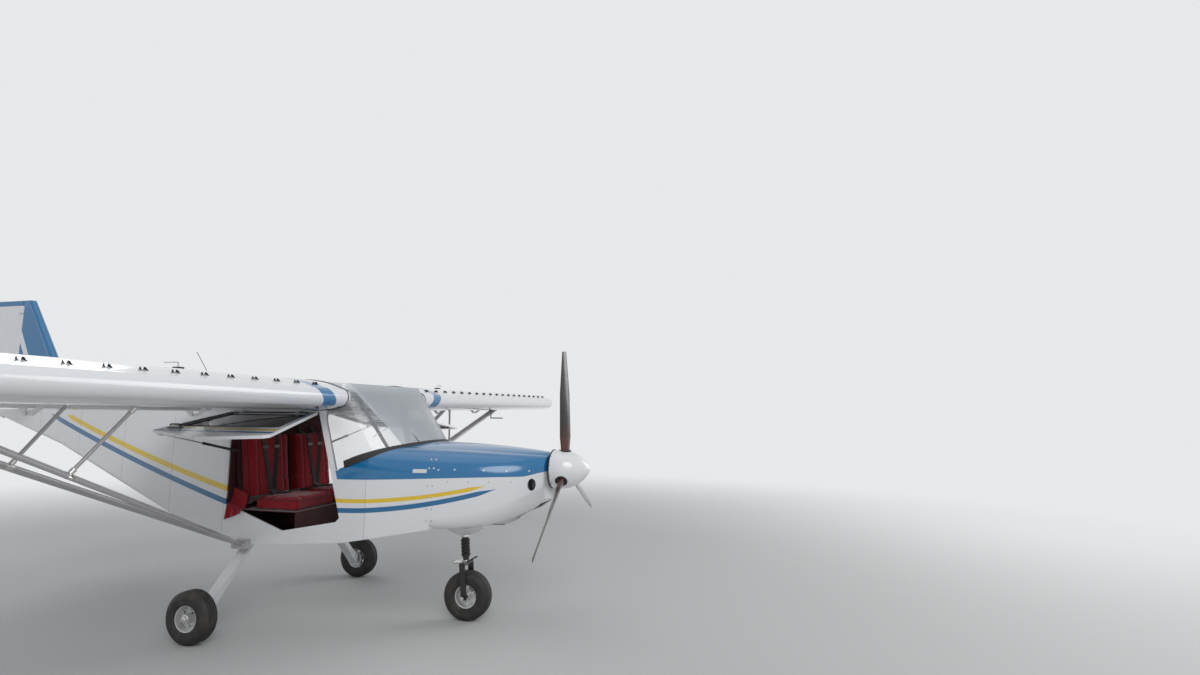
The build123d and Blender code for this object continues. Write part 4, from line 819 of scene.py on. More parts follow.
# Red cloth that hangs out over the aft end of the right door sill
drape = {"front": 2.318, "rear": 2.448, "across": 20, "down": 34, "fold": 0.006, "thick": 0.0012,
         "long": 0.215, "seatSide": -0.512, "wallIn": -0.546, "wallOut": -0.5735}
rows = []
for i in range(drape["across"] + 1):
    share = i / drape["across"]
    station = drape["front"] + (drape["rear"] - drape["front"]) * share
    sill = 0.789 + (station - 2.248) * 0.357 + 0.005
    hang = 0.018 + 0.100 * share
    path = [spot(station, drape["seatSide"], sill + 0.115),
            spot(station, drape["seatSide"] - 0.004, sill + 0.050),
            spot(station, drape["wallIn"] + 0.008, sill + 0.006),
            spot(station, drape["wallIn"] - 0.010, sill + 0.001),
            spot(station, drape["wallOut"] + 0.004, sill),
            spot(station, drape["wallOut"] - 0.001, sill - 0.012),
            spot(station + 0.014 * share - 0.006, drape["wallOut"] - 0.003, sill - hang)]
    runs = [0.0]
    for a, b in zip(path, path[1:]):
        runs.append(runs[-1] + (b - a).length)
    row = []
    for j in range(drape["down"] + 1):
        goal = runs[-1] * j / drape["down"]
        k = max(n for n in range(len(path) - 1) if runs[n] <= goal + 1e-9)
        t = (goal - runs[k]) / (runs[k + 1] - runs[k])
        point = path[k].lerp(path[k + 1], t)
        loose = max(0.0, (j / drape["down"] - 0.62) / 0.38)
        point.y -= loose * drape["fold"] * (1.1 + math.sin(share * 15.0 + 0.6) + 0.4 * math.sin(share * 31.0))
        point.x += loose * 0.004 * math.sin(share * 22.0)
        row.append(point)
    rows.append(row)
cloth = Shape()
cloth.skin(rows, closed=False)
cloth = cloth.made("sillCloth", "root", "redCloth", crease=60)
cloth.modifiers.new("thick", "SOLIDIFY").thickness = drape["thick"]
rounder = cloth.modifiers.new("smooth", "SUBSURF")
rounder.levels = rounder.render_levels = 1
wide = sum((rows[-1][j] - rows[0][j]).length for j in range(drape["down"] + 1)) / (drape["down"] + 1)
print("belts, piping and sill cloth made")

# Tyres with ribbed treads, in place of the plain ones
wheels = {
    "main": {"centre": spot(2.309, -0.961, 0.176), "radius": 0.176, "half": 0.0625, "rim": 0.0865,
             "nodes": "main_tyre_*",
             "body": "main_wheel_*"},
    "nose": {"centre": spot(0.753, 0.0, 0.181), "radius": 0.181, "half": 0.056, "rim": 0.0865,
             "nodes": "nose_tyre",
             "body": "nose_wheel"},
    "grooves": (0.010, 0.031), "grooveHalf": 0.0024, "grooveDepth": 0.0045, "sides": 96,
}


def tyreProfile(radius, half, rim):  # (along, radius) round one closed section
    side = []
    for groove in wheels["grooves"]:
        g = wheels["grooveHalf"]
        crown = radius - 0.6 * groove ** 2
        side += [(groove - g - 0.0006, crown), (groove - g, crown - 0.0008),
                 (groove - g * 0.7, crown - wheels["grooveDepth"]),
                 (groove + g * 0.7, crown - wheels["grooveDepth"]), (groove + g, crown - 0.0012),
                 (groove + g + 0.0006, crown - 0.0004)]
    turned = half * 0.8
    shoulder = [(half - turned + turned * math.sin(t), radius - turned + turned * math.cos(t))
                for t in (math.radians(a) for a in (34, 42, 50, 58, 66, 74, 82, 90))]
    side += [(a, min(r, radius - 0.6 * a ** 2)) for a, r in shoulder]
    tall = radius - rim
    side += [(half - 0.0004, rim + tall * 0.46), (half + 0.0000, rim + tall * 0.42),
             (half - 0.0012, rim + tall * 0.40),
             (half - 0.0012, rim + tall * 0.26), (half - 0.0002, rim + tall * 0.22),
             (half - 0.004, rim + tall * 0.10),
             (half - 0.010, rim + 0.0012), (half - 0.014, rim)]
    return side + [(-a, r) for a, r in reversed(side)]


for kind in ("main", "nose"):
    wheel = wheels[kind]
    tread = Shape()
    tread.lathe(wheel["centre"], (0, 1, 0), tyreProfile(wheel["radius"], wheel["half"], wheel["rim"]),
                wheels["sides"],
                ring=True)
    if kind == "main":
        for piece, side in zip(tread.both("mainTyre", wheel["body"], "tyre", crease=50), ("right", "left")):
            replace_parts(piece, wheel["nodes"].replace("*", side))
    else:
        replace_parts(tread.made("noseTyre", wheel["body"], "tyre", crease=50), wheel["nodes"])

# Rim bolts, valves and caps turn with the wheels; brakes and nuts stay with the leg
hubs = {"nearCircle": 0.0215, "farCircle": 0.0635, "nearBolt": 0.0045, "nearHead": 0.004,
        "farBolt": 0.0055, "farHead": 0.006, "farSide": 0.0060, "bolts": 6}
for kind, reach in (("main", 0.0545), ("nose", 0.0480)):
    wheel = wheels[kind]
    fit = Shape()
    sides = (-1,) if kind == "main" else (-1, 1)
    for way in sides:
        for k in range(hubs["bolts"]):
            t = math.tau * (k + 0.5) / hubs["bolts"]
            offset = Vector((math.sin(t), 0, math.cos(t)))
            fit.bolt(wheel["centre"] + offset * hubs["nearCircle"] + Vector((0, way * reach, 0)),
                     (0, way, 0), hubs["nearBolt"], hubs["nearHead"])
            fit.bolt(wheel["centre"] + offset * hubs["farCircle"] + Vector((0, way * hubs["farSide"], 0)),
                     (0, way, 0), hubs["farBolt"], hubs["farHead"])
        fit.lathe(wheel["centre"] + Vector((0, way * (reach + 0.0008), 0)), (0, way, 0),
                  [(-0.001, 0.0285), (0.0012, 0.0285), (0.0020, 0.0270), (0.0020, 0.0255)], 40)
    stem = wheel["centre"] + Vector((0.055, sides[0] * 0.020, 0.045))
    fit.tube([stem, stem + Vector((0.0, sides[0] * 0.030, 0.0))], 0.0032, 10, 1)
    fit.lathe(stem + Vector((0, sides[0] * 0.028, 0)), (0, sides[0], 0),
              [(0, 0.0042), (0.008, 0.0042), (0.009, 0.003)], 12, 1)
    if kind == "main":
        fit.lathe(wheel["centre"] + Vector((0, 0.0635, 0)), (0, 1, 0),
                  [(0.0, 0.070), (0.004, 0.070), (0.004, 0.034), (0.0, 0.034)], 48, 2, ring=True)
        fit.both("mainHubFittings", wheel["body"], "bright", "black", "alloy")
    else:
        fit.made("noseHubFittings", wheel["body"], "bright", "black")
brake = Shape()
hub = wheels["main"]["centre"]
brake.plank(hub + Vector((-0.052, 0.0790, 0.030)), (0.45, 0, 0.9), (0, 1, 0), (0.052, 0.012, 0.030), 0.003, 0)
brake.plank(hub + Vector((-0.030, 0.0820, 0.014)), (0.85, 0, -0.5), (0, 1, 0), (0.070, 0.006, 0.024), 0.001,
            1)
for k in (-1, 1):
    brake.bolt(hub + Vector((-0.052 + 0.010 * k, 0.0850, 0.030 + 0.018 * k)), (0, 1, 0), 0.0045, 0.004, 1)
brake.lathe(hub + Vector((0, -0.0640, 0)), (0, -1, 0),
            [(-0.003, 0.0145), (0.0, 0.0165), (0.009, 0.0165), (0.0105, 0.0140)], 6, 1)
brake.both("mainBrake", "root", "alloy", "bright")
print("wheels dressed")

# Windscreen: a black seal along its foot, wide at the pillars and thin at the apex, and edge strips
screen = {
    "sideStation": 1.548, "sideHeight": 1.133, "apexStation": 1.044, "apexHeight": 1.330, "half": 0.567,
    "topStation": 1.716, "topHeight": 1.757, "foot": ((0.070, 0.265, 0.033), (0.449, 0.367)),
    "top": ((0.112, 0.184, 0.026), (0.216, 0.470)), "topCrown": 0.232,
    "wide": 0.042, "narrow": 0.012, "lift": 0.0022,
}


# (forward, side) from the right pillar to the left
def screenEdge(straight, corner, cornerIn, shoulder, crown, steps=14):
    half = screen["half"]
    right = arcThrough((straight, -half), (corner, cornerIn - half), (shoulder[0], -shoulder[1]), steps)
    over = arcThrough((shoulder[0], -shoulder[1]), (crown, 0.0), shoulder, steps * 3)
    return right + over[1:] + [(a, -b) for a, b in reversed(right)][1:]


run = screen["sideStation"] - screen["apexStation"]
rise = screen["apexHeight"] - screen["sideHeight"]
slope = math.hypot(run, rise)
footEdge = [spot(screen["sideStation"] - a * run / slope, b, screen["sideHeight"] + a * rise / slope)
            for a, b in screenEdge(*screen["foot"][0], screen["foot"][1], slope)]
topEdge = [spot(screen["topStation"] - a, b, screen["topHeight"])
           for a, b in screenEdge(*screen["top"][0], screen["top"][1], screen["topCrown"])]
sheetUp = [(t - f).normalized() for f, t in zip(footEdge, topEdge)]
inward = [Vector((-1.0, 0.0, 0.0)) if abs(f.y) < 0.01 else Vector((datum - 1.75 - f.x, -f.y,
                                                                   0)).normalized() for f in footEdge]
rows = []
for foot, upWay, inWay in zip(footEdge, sheetUp, inward):
    share = min(1.0, abs(foot.y) / 0.56)
    wide = screen["narrow"] + (screen["wide"] - screen["narrow"]) * share ** 2.2
    out = (upWay * inWay.dot(upWay) - inWay).normalized() * screen["lift"]
    low = foot - upWay * 0.010 + out
    rows.append([low, low + out * 0.6 + upWay * 0.004, foot + upWay * (wide - 0.004) + out * 1.5,
                 foot + upWay * wide + out, foot + upWay * wide - out * 0.5,
                 foot - upWay * 0.010 - out * 0.8])
seal = Shape()
seal.skin(rows)
seal.made("screenSeal", "root", "rubber")

bow = Shape()
middle = len(footEdge) // 2
for ends in (0.34, 0.66):
    k = int(ends * (len(footEdge) - 1))
    bow.tube([footEdge[k] + Vector((-0.020, 0, 0.010)), topEdge[k] + Vector((-0.020, 0, -0.030))], 0.008, 12)
bow.made("screenBows", "root", "blackSteel")

# Two short strips of white tape on the right of the sheet
screenTree = nodeTree("windscreen")
tape = Shape()
for a, b in (((1.300, 1.372), (1.278, 1.396)), ((1.266, 1.412), (1.240, 1.442))):
    ends = [landed(screenTree, spot(s, -1.5, z), (0, 1, 0), 0.0015)[0] for s, z in (a, b)]
    if all(ends):
        tape.strap([ends[0], (ends[0] + ends[1]) / 2 + Vector((0, -0.001, 0)), ends[1]], 0.008, 0.0012,
                   (0, -1, 0.3))
if tape.points:
    tape.made("screenTape", "root", "plateWhite")

# Black seals round the wing roots
wingCut = {
    "front": 1.474, "height": 1.645, "radius": 0.0045, "side": 0.571,
    "arcs": (((1.200, 0.034), (0.800, 0.102), (0.380, 0.134)),
             ((0.380, 0.134), (0.190, 0.116), (0.060, 0.074)),
             ((0.060, 0.074), (0.0, 0.0), (0.060, -0.058)),
             ((0.060, -0.058), (0.150, -0.078), (0.300, -0.084)),
             ((0.300, -0.084), (0.760, -0.044), (1.200, 0.022))),
}
loop = []
for arc in wingCut["arcs"]:
    loop += arcThrough(*arc, 14)[:-1]
loop.append(wingCut["arcs"][-1][2])
rootSeal = Shape()
rootSeal.tube([spot(wingCut["front"] + a, -wingCut["side"], wingCut["height"] + b) for a, b in loop],
              wingCut["radius"], 8)
rootSeal.both("wingRootSeal", "root", "rubber")

# Doors, drawn shut and then swung up with the real ones
door = {
    "hinge": (-0.570, 1.550), "open": -79.3, "outer": -0.568, "inner": -0.548,
    "window": ((1.612, 1.010), (2.411, 1.010), (2.411, 1.498), (1.750, 1.498)),
    "edge": ((1.712, 1.548), (1.501, 0.800), (1.531, 0.770), (1.964, 0.690), (2.248, 0.789), (2.461, 0.865),
             (2.461, 1.548)),
    "sealRadius": 0.0042, "latch": (2.360, 0.945),
}


def swing(shape):
    turn = Matrix.Rotation(math.radians(door["open"]), 3, "X")
    pin = Vector((0, door["hinge"][0], door["hinge"][1]))
    shape.points = [turn @ (p - pin) + pin for p in shape.points]
    return shape


fittings = Shape()
for face in (door["outer"] - 0.0005, door["inner"] + 0.0005):
    corners = [spot(s, face, z) for s, z in door["window"]]
    fittings.tube(rounded(corners, 0.030, 5), door["sealRadius"], 8, 0, ring=True)
pitch = 0.062
for (s0, z0), (s1, z1), inset in ((door["edge"][1], door["edge"][0], 0.020),
                                  (door["edge"][5], door["edge"][6], -0.020)):
    edgeLong = math.hypot(s1 - s0, z1 - z0)
    for k in range(1, int(edgeLong / pitch)):
        t = k * pitch / edgeLong
        fittings.screw(spot(s0 + (s1 - s0) * t + inset, door["outer"], z0 + (z1 - z0) * t), (0, -1, 0),
                       0.0036, 1)
latch = door["latch"]
fittings.plank(spot(latch[0] - 0.006, door["outer"] - 0.003, latch[1]), (1, 0, 0), (0, 0, 1),
               (0.105, 0.034, 0.006), 0.002, 2)
fittings.tube(rounded([spot(latch[0] - 0.045, door["outer"] - 0.004, latch[1]),
                       spot(latch[0] - 0.045, door["outer"] - 0.024, latch[1]),
                       spot(latch[0] + 0.030, door["outer"] - 0.024, latch[1] + 0.004),
                       spot(latch[0] + 0.038, door["outer"] - 0.016, latch[1] + 0.004)], 0.008, 4,
                       close=False), 0.0052, 10, 2)
fittings.tube([spot(latch[0] - 0.020, door["inner"] + 0.004, latch[1]),
               spot(latch[0] - 0.020, door["inner"] + 0.028, latch[1]),
               spot(latch[0] - 0.090, door["inner"] + 0.030, latch[1] - 0.004)], 0.0048, 10, 2)
fittings.tube([spot(2.300, door["inner"] + 0.010, latch[1]), spot(1.640, door["inner"] + 0.010, latch[1])],
              0.0042, 8, 1)
for station in (1.70, 1.93, 2.16):
    fittings.plank(spot(station, door["inner"] + 0.006, latch[1]), (1, 0, 0), (0, 0, 1),
                   (0.022, 0.030, 0.012), 0.002, 2)
for station in (1.850, 2.330):
    for drop in (0.022, 0.040):
        fittings.screw(spot(station, -0.5742, door["hinge"][1] - drop), (0, -1, 0), 0.0038, 1)
swing(fittings).both("doorFittings", "door_*", "rubber", "alloy", "blackSteel")
lining = Shape()
pocket = [(1.585, 0.985), (1.560, 0.860), (1.590, 0.830), (1.964, 0.752), (2.220, 0.838), (2.405, 0.905),
          (2.405, 0.985)]
pocket = [(s, min(z, 0.925)) if z > 0.95 else (s, z) for s, z in pocket]
lining.plate([spot(s, door["inner"], z) for s, z in pocket], (0, 0.003, 0))
swing(lining).both("doorLining", "door_*", "darkCloth")

# Seal round each door opening, on the inner edge of the wall
frameSeal = Shape()
corners = [spot(s, -0.5455, z) for s, z in
           ((1.700, 1.558), (1.489, 0.796), (1.524, 0.759), (1.965, 0.679), (2.252, 0.779), (2.4640, 0.854),
            (2.4640, 1.558))]
frameSeal.tube(rounded(corners, 0.014, 4, close=False), 0.0042, 8)
frameSeal.both("doorwaySeal", "root", "rubber")

# Gas struts: ferrules and end caps
gas = {"foot": (-0.533, 1.250), "head": (-1.2022, 1.39493), "station": 2.428, "footRing": 0.013,
       "headRing": 0.313,
       "capReach": 0.021, "innerStart": 0.3245, "innerEnd": 0.3640}
start = spot(gas["station"], *gas["foot"])
end = spot(gas["station"], *gas["head"])
line = (end - start).normalized()
ferrule = Shape()
ferrule.lathe(start + line * gas["footRing"], line,
              [(0, 0.0094), (0.002, 0.0110), (0.012, 0.0110), (0.014, 0.0094)], 20, ring=True)
ferrule.lathe(start + line * gas["headRing"], line,
              [(0, 0.0094), (0.002, 0.0108), (0.010, 0.0108), (0.0125, 0.0094)], 20, ring=True)
ferrule.both("gasFerrule", "gas_barrel_*", "black")
eye = Shape()
eye.lathe(end - line * gas["capReach"], line,
          [(0, 0.0050), (0.002, 0.0078), (0.0085, 0.0078), (0.0105, 0.0060)], 20)
eye.both("gasEyeCap", "gas_rod_*", "black")
inner = Shape()  # carries the rod on into the mouth of its barrel while the door is open
inner.lathe(start + line * gas["innerStart"], line,
            [(0, 0.0050), (gas["innerEnd"] - gas["innerStart"], 0.0050)], 20)
inner.both("gasRodInner", "gas_rod_*", "bright")
print("screen, seals and doors dressed")

# Engine cowl: screws set down on its skin, rims, lips, mesh and a blank plate
cowl = {"screwRadius": 0.0062, "plate": (0.870, 0.969, 1.127, 1.153)}
noseTree = nodeTree("cowl_upper", "cowl_lower", "nose_deck", "cabin_side_right", "nose_fairing")
screws = Shape()
rowsOfScrews = [(s, 1.152 - abs(s - 0.678) * 0.022) for s in (0.190, 0.330, 0.480, 0.678, 0.790)]
rowsOfScrews += [(s, 1.070) for s in (0.300, 0.440, 0.580, 0.720)]
rowsOfScrews += [(0.824, z) for z in (0.80, 0.88, 0.96, 1.04, 1.16, 1.22)]
rowsOfScrews += [(0.858, z) for z in (0.80, 0.88, 0.96, 1.04, 1.16, 1.22)]
for station, height in rowsOfScrews:
    place, normal = landed(noseTree, spot(station, -1.2, height), (0, 1, 0))
    if place:
        screws.lathe(place, normal,
                     [(-0.001, cowl["screwRadius"]), (0.0006, 0.0060), (0.0012, 0.0046), (0.0015, 0.0)],
                     16, 0)
        levelWay = normal.cross(Vector((0, 0, 1))).normalized()
        screws.plank(place + normal * 0.0015, levelWay, normal, (0.0070, 0.0006, 0.0012), 0.0001, 1)
screws.both("cowlScrews", "root", "alloy", "black")
rims = Shape()
oval = []
for k in range(48):
    t = math.tau * k / 48
    place, normal = landed(noseTree, spot(0.175 + 0.0215 * math.sin(t), -1.0, 1.046 + 0.0395 * math.cos(t)),
                           (0, 1, 0))
    if place:
        oval.append(place)
rims.tube(oval, 0.0028, 8, 0, ring=True)
for k in range(-3, 4):
    rims.tube([spot(0.175 + k * 0.0055, -0.212, 1.046 - 0.034 * math.sqrt(max(0.0, 1 - (k / 3.6) ** 2))),
               spot(0.175 + k * 0.0055, -0.212, 1.046 + 0.034 * math.sqrt(max(0.0, 1 - (k / 3.6) ** 2)))],
               0.0008, 5, 1)
for k in range(-6, 7):
    rims.tube([spot(0.175 - 0.0185 * math.sqrt(max(0.0, 1 - (k / 6.6) ** 2)), -0.212, 1.046 + k * 0.0055),
               spot(0.175 + 0.0185 * math.sqrt(max(0.0, 1 - (k / 6.6) ** 2)), -0.212, 1.046 + k * 0.0055)],
               0.0008, 5, 1)
rims.both("inletRim", "root", "black", "alloy")
lips = Shape()
for half, top, foot in ((0.150, (0.150, 0.896), (0.235, 0.838)), (0.115, (0.318, 0.800), (0.436, 0.728))):
    path = [spot(top[0], -half + 0.002, top[1]), spot(foot[0], -half + 0.002, foot[1]),
            spot(foot[0], half - 0.002, foot[1]), spot(top[0], half - 0.002, top[1])]
    lips.tube(rounded(path, 0.024, 5, close=False), 0.0042, 8)
lips.made("chinLips", "root", "plateWhite")
joint = Shape()
path = []
for k in range(40):
    t = math.pi * (0.02 + 0.96 * k / 39)
    way = Vector((0, -math.cos(t), math.sin(t)))
    place = landed(noseTree, spot(0.8405, 0, 0.98) + way * 1.5, -way, 0.0002)[0]
    if place:
        path.append(place)
joint.strap(path, 0.0045, 0.0014, (0, 0, 1))
joint.made("cowlJoint", "root", "rubber")
plate = Shape()
s0, s1, z0, z1 = cowl["plate"]
rows = []
for k in range(9):
    station = s0 + (s1 - s0) * k / 8
    rows.append([landed(noseTree, spot(station, -1.2, z), (0, 1, 0), lift)[0]
                 for z,
                 lift in ((z0, 0.0002), (z0 + 0.001, 0.0022), (z1 - 0.001, 0.0022), (z1, 0.0002),
                          (z1 - 0.001, -0.001),
                                 (z0 + 0.001, -0.001))])
plate.skin(rows)
plate.made("blankPlate", "root", "plateWhite")
print("cowl dressed")

# Spinner screws, its dark joint line, and guards on the blades' leading edges
hubCentre = spot(0.0, 0.0, 1.140)
spin = Shape()
for k in range(12):
    t = math.tau * (k + 0.5) / 12
    out = Vector((0, math.sin(t), math.cos(t)))
    spin.screw(hubCentre + Vector((-0.078, 0, 0)) + out * 0.1425, out, 0.0050, 0)
spin.lathe(hubCentre + Vector((-0.0955, 0, 0)), (1, 0, 0),
           [(0.0, 0.1370), (0.0, 0.1428), (0.004, 0.1434), (0.008, 0.1428), (0.008, 0.1370)], 72, 1)
for angle in (95.5, 215.5, 335.5):
    turn = Matrix.Rotation(math.radians(angle - 90), 3, "X")
    spin.lathe(hubCentre + turn @ Vector((0, 0, 0.120)), turn @ Vector((0, 0, 1)),
               [(0.0, 0.040), (0.003, 0.043), (0.016, 0.043), (0.019, 0.040)], 32, 1)
spin.made("spinnerFittings", "propeller", "alloy", "black")

# Nose leg: shock rings, a bright bracket behind the fork crown, a link rod, gussets and axle nuts
noseHub = spot(0.753, 0.0, 0.181)
rake = Vector((-math.sin(math.radians(5)), 0, math.cos(math.radians(5))))
legs = Shape()
for k in range(5):
    legs.lathe(noseHub + rake * (0.300 + k * 0.026), rake,
               [(-0.012, 0.0245), (-0.011, 0.0300), (-0.006, 0.0335), (0.006, 0.0335), (0.011, 0.0300),
                (0.012, 0.0245)], 28, 0)
legs.lathe(noseHub + rake * 0.440, rake,
           [(-0.010, 0.0245), (-0.009, 0.0310), (0.009, 0.0310), (0.010, 0.0245)], 28, 1)
legs.made("shockRings", "root", "rubber", "bright")
clamp = Shape()
crown = noseHub + rake * 0.239
clamp.plank(crown + Vector((-0.052, 0.0, 0.0)), (-1, 0, -0.10), (0, 1, 0), (0.070, 0.060, 0.009), 0.002, 0)
clamp.plank(crown + Vector((-0.086, 0.0, -0.004)), (0, 1, 0), (0, 0, 1), (0.074, 0.022, 0.010), 0.002, 0)
clamp.lathe(noseHub + rake * 0.2515, rake, [(0.0, 0.0245), (0.0, 0.0370), (0.011, 0.0370), (0.012, 0.0245)],
            36, 0)
for side in (-1, 1):
    clamp.bolt(crown + Vector((-0.086, side * 0.026, 0.002)), (-1, 0, 0), 0.006, 0.012, 0)
    clamp.bolt(noseHub + Vector((0, side * 0.1075, 0)), (0, side, 0), 0.0150, 0.008, 0)
    clamp.plank(noseHub + rake * 0.205 + Vector((0, side * 0.072, 0)), rake, (0, side, 0),
                (0.046, 0.006, 0.036), 0.002, 1)
    clamp.tube([noseHub + rake * 0.250 + Vector((0.020, side * 0.030, 0)),
                noseHub + rake * 0.262 + Vector((0.075, side * 0.034, 0.020))],
               0.0055, 10, 1)
clamp.made("forkFittings", "nose_fork", "bright", "blackSteel")

# Struts: sleeves at their ends, clamps where the short braces meet them
bars = (((1.830, 3.000, 1.575), (1.880, 1.890, 1.568)), ((2.450, 3.000, 1.625), (2.330, 1.890, 1.600)))
ends = Shape()
oval = [(math.cos(math.tau * k / 28) * 0.0335, math.sin(math.tau * k / 28) * 0.0155) for k in range(28)]
footPoint = spot(2.280, -0.592, 0.585)
for top, brace in bars:
    head = spot(top[0], -top[1], top[2])
    way = (head - footPoint).normalized()
    levelWay = way.cross(Vector((-way.z, 0, way.x)))
    for low, high in ((0.070, 0.190), ((head - footPoint).length - 0.150, (head - footPoint).length - 0.030)):
        path = [footPoint + way * (low + (high - low) * t) for t in (0.0, 0.03, 0.97, 1.0)]
        rows = []
        for point, grow in zip(path, (0.93, 1.0, 1.0, 0.93)):
            flatWay = levelWay.cross(way).normalized()
            thinWay = way.cross(flatWay)
            rows.append([point + flatWay * a * grow + thinWay * b * grow for a, b in oval])
        ends.skin(rows)
        for t in (0.25, 0.75):
            at = footPoint + way * (low + (high - low) * t)
            ends.bolt(at + thinWay * 0.0150, thinWay, 0.0065, 0.006, 1)
            ends.bolt(at - thinWay * 0.0150, -thinWay, 0.0065, 0.006, 1)
    at = footPoint.lerp(head, 0.64)
    rows = [[at + way * shift + flatWay * a * grow + thinWay * b * grow for a, b in oval]
            for shift, grow in ((-0.022, 0.97), (-0.018, 1.04), (0.018, 1.04), (0.022, 0.97))]
    ends.skin(rows, 1)
    topEnd = spot(brace[0], -brace[1], brace[2])
    way = (topEnd - at).normalized()
    ends.lathe(topEnd - way * 0.040, way, [(0, 0.0100), (0.002, 0.0140), (0.036, 0.0140), (0.038, 0.0100)],
               20, 1)
    ends.lathe(at + way * 0.012, way, [(0, 0.0100), (0.002, 0.0140), (0.030, 0.0140), (0.032, 0.0100)], 20, 1)
ends.bolt(spot(2.280, -0.6200, 0.590), (0, -1, 0), 0.010, 0.008, 1)
for shift in (-0.040, 0.040):
    ends.bolt(spot(2.280 + shift, -0.6200, 0.590), (0, -1, 0), 0.0075, 0.007, 1)
ends.both("strutFittings", "root", "strut", "bright")
print("nose leg and struts dressed")

# Wings: air guides in pairs along the crest, tank caps, hinge bolts
vanes = {"station": 1.585, "long": 0.030, "tall": 0.013, "thick": 0.0012, "first": 0.800, "pitch": 0.190,
         "count": 19,
         "spread": 0.032, "toe": 14.0}
wingTree = nodeTree("wing_right")
guides = Shape()
for k in range(vanes["count"]):
    for way in (-1, 1):
        side = -(vanes["first"] + vanes["pitch"] * k + way * vanes["spread"] / 2)
        place, normal = landed(wingTree, spot(vanes["station"], side, 2.2), (0, 0, -1))
        if not place:
            continue
        toe = math.radians(vanes["toe"] * way)
        along = Vector((-math.cos(toe), math.sin(toe), 0))
        along = (along - normal * along.dot(normal)).normalized()
        flank = along.cross(normal).normalized()
        vaneLong, tall = vanes["long"], vanes["tall"]
        guides.plate([place - along * vaneLong / 2 - normal * 0.001,
                      place + along * vaneLong / 2 - normal * 0.001,
                      place + along * vaneLong / 2 + normal * tall,
                      place + along * vaneLong * 0.15 + normal * tall],
                     flank * vanes["thick"])
        guides.plate([place - along * vaneLong / 2, place + along * vaneLong / 2,
                      place + along * vaneLong / 2 + flank * 0.010,
                      place - along * vaneLong * 0.2 + flank * 0.010],
                     normal * 0.001)
guides.both("airGuides", "root", "black", crease=20)
cap = {"station": 1.900, "side": 1.620, "top": 1.7882, "flange": 0.042, "vent": 0.0040, "rise": 0.046,
       "reach": 0.095}
base = spot(cap["station"], -cap["side"], cap["top"])
filler = Shape()
filler.lathe(base, (0, 0, 1),
             [(-0.003, cap["flange"]), (0.003, cap["flange"]), (0.004, 0.0405), (0.004, 0.033),
              (0.0045, 0.0325)], 48, 0)
knurl = []
for along, grow in ((0.0035, 0.98), (0.005, 1.0), (0.0135, 1.0), (0.0155, 0.95), (0.0160, 0.88)):
    knurl.append([base + Vector((math.cos(t) * r * grow, math.sin(t) * r * grow, along)) for t, r in
                  ((math.tau * k / 96, 0.031 if k % 4 < 2 else 0.0300) for k in range(96))])
filler.skin(knurl, 1)
bend = rounded([base + Vector((0, 0, 0.012)), base + Vector((0, 0, cap["rise"])),
                base + Vector((0, -cap["reach"], cap["rise"] - 0.010))], 0.014, 6, close=False)
filler.tube(bend, cap["vent"], 12, 0)
filler.lathe(base + Vector((0, 0, 0.0155)), (0, 0, 1), [(0, 0.0075), (0.004, 0.0075), (0.006, 0.0050)], 6, 0)
for k in range(6):
    t = math.tau * (k + 0.5) / 6
    filler.screw(base + Vector((math.cos(t) * 0.0372, math.sin(t) * 0.0372, 0.004)), (0, 0, 1), 0.0028, 1)
for piece, side in zip(filler.both("tankFiller", "root", "alloy", "black"), ("right", "left")):
    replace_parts(piece, f"tank_cap_{side}")
hinges = Shape()
for side in (0.760, 1.900, 3.050, 4.180):
    pin = spot(2.634, -side, 1.515 + (side - 0.570) * math.tan(math.radians(0.5)))
    hinges.bolt(pin + Vector((0, 0.0080, 0)), (0, 1, 0), 0.0085, 0.006)
    for shift, up in ((0.050, 0.012), (0.090, 0.062)):
        hinges.bolt(pin + Vector((shift, 0.0080, up)), (0, 1, 0), 0.0050, 0.004)
hinges.both("hingeBolts", "root", "bright")
print("wings dressed")

# Tail: rudder horn, tie-down ring, antenna foot
tail = Shape()
tail.plate([spot(5.412, -0.060, 1.4700), spot(5.440, -0.075, 1.4700), spot(5.475, -0.020, 1.4700),
            spot(5.475, 0.020, 1.4700),
            spot(5.440, 0.075, 1.4700), spot(5.412, 0.060, 1.4700)], (0, 0, -0.004))
for side in (-0.062, 0.062):
    tail.bolt(spot(5.432, side, 1.4660), (0, 0, -1), 0.005, 0.006)
tail.made("rudderHorn", "rudder", "blackSteel")
tie = Shape()
tie.lathe(spot(5.300, 0, 1.4330), (0, 1, 0), [(math.sin(t) * 0.0035, 0.016 + math.cos(t) * 0.0035)
                                              for t in (math.tau * k / 8 for k in range(8))], 28, 0,
                                              ring=True)
tie.made("tieDownRing", "root", "blackSteel")
foot = Shape()
foot.lathe(spot(3.114, 0, 1.6975), (0, 0, 1),
           [(-0.002, 0.0190), (0.002, 0.0190), (0.004, 0.0150), (0.004, 0.0132)], 28, 0)
foot.lathe(spot(3.114, 0, 1.7180), (0, 0, 1),
           [(0, 0.0125), (0.006, 0.0090), (0.016, 0.0050), (0.026, 0.0032)], 24, 0)
foot.made("antennaFoot", "root", "black")
print("tail dressed")
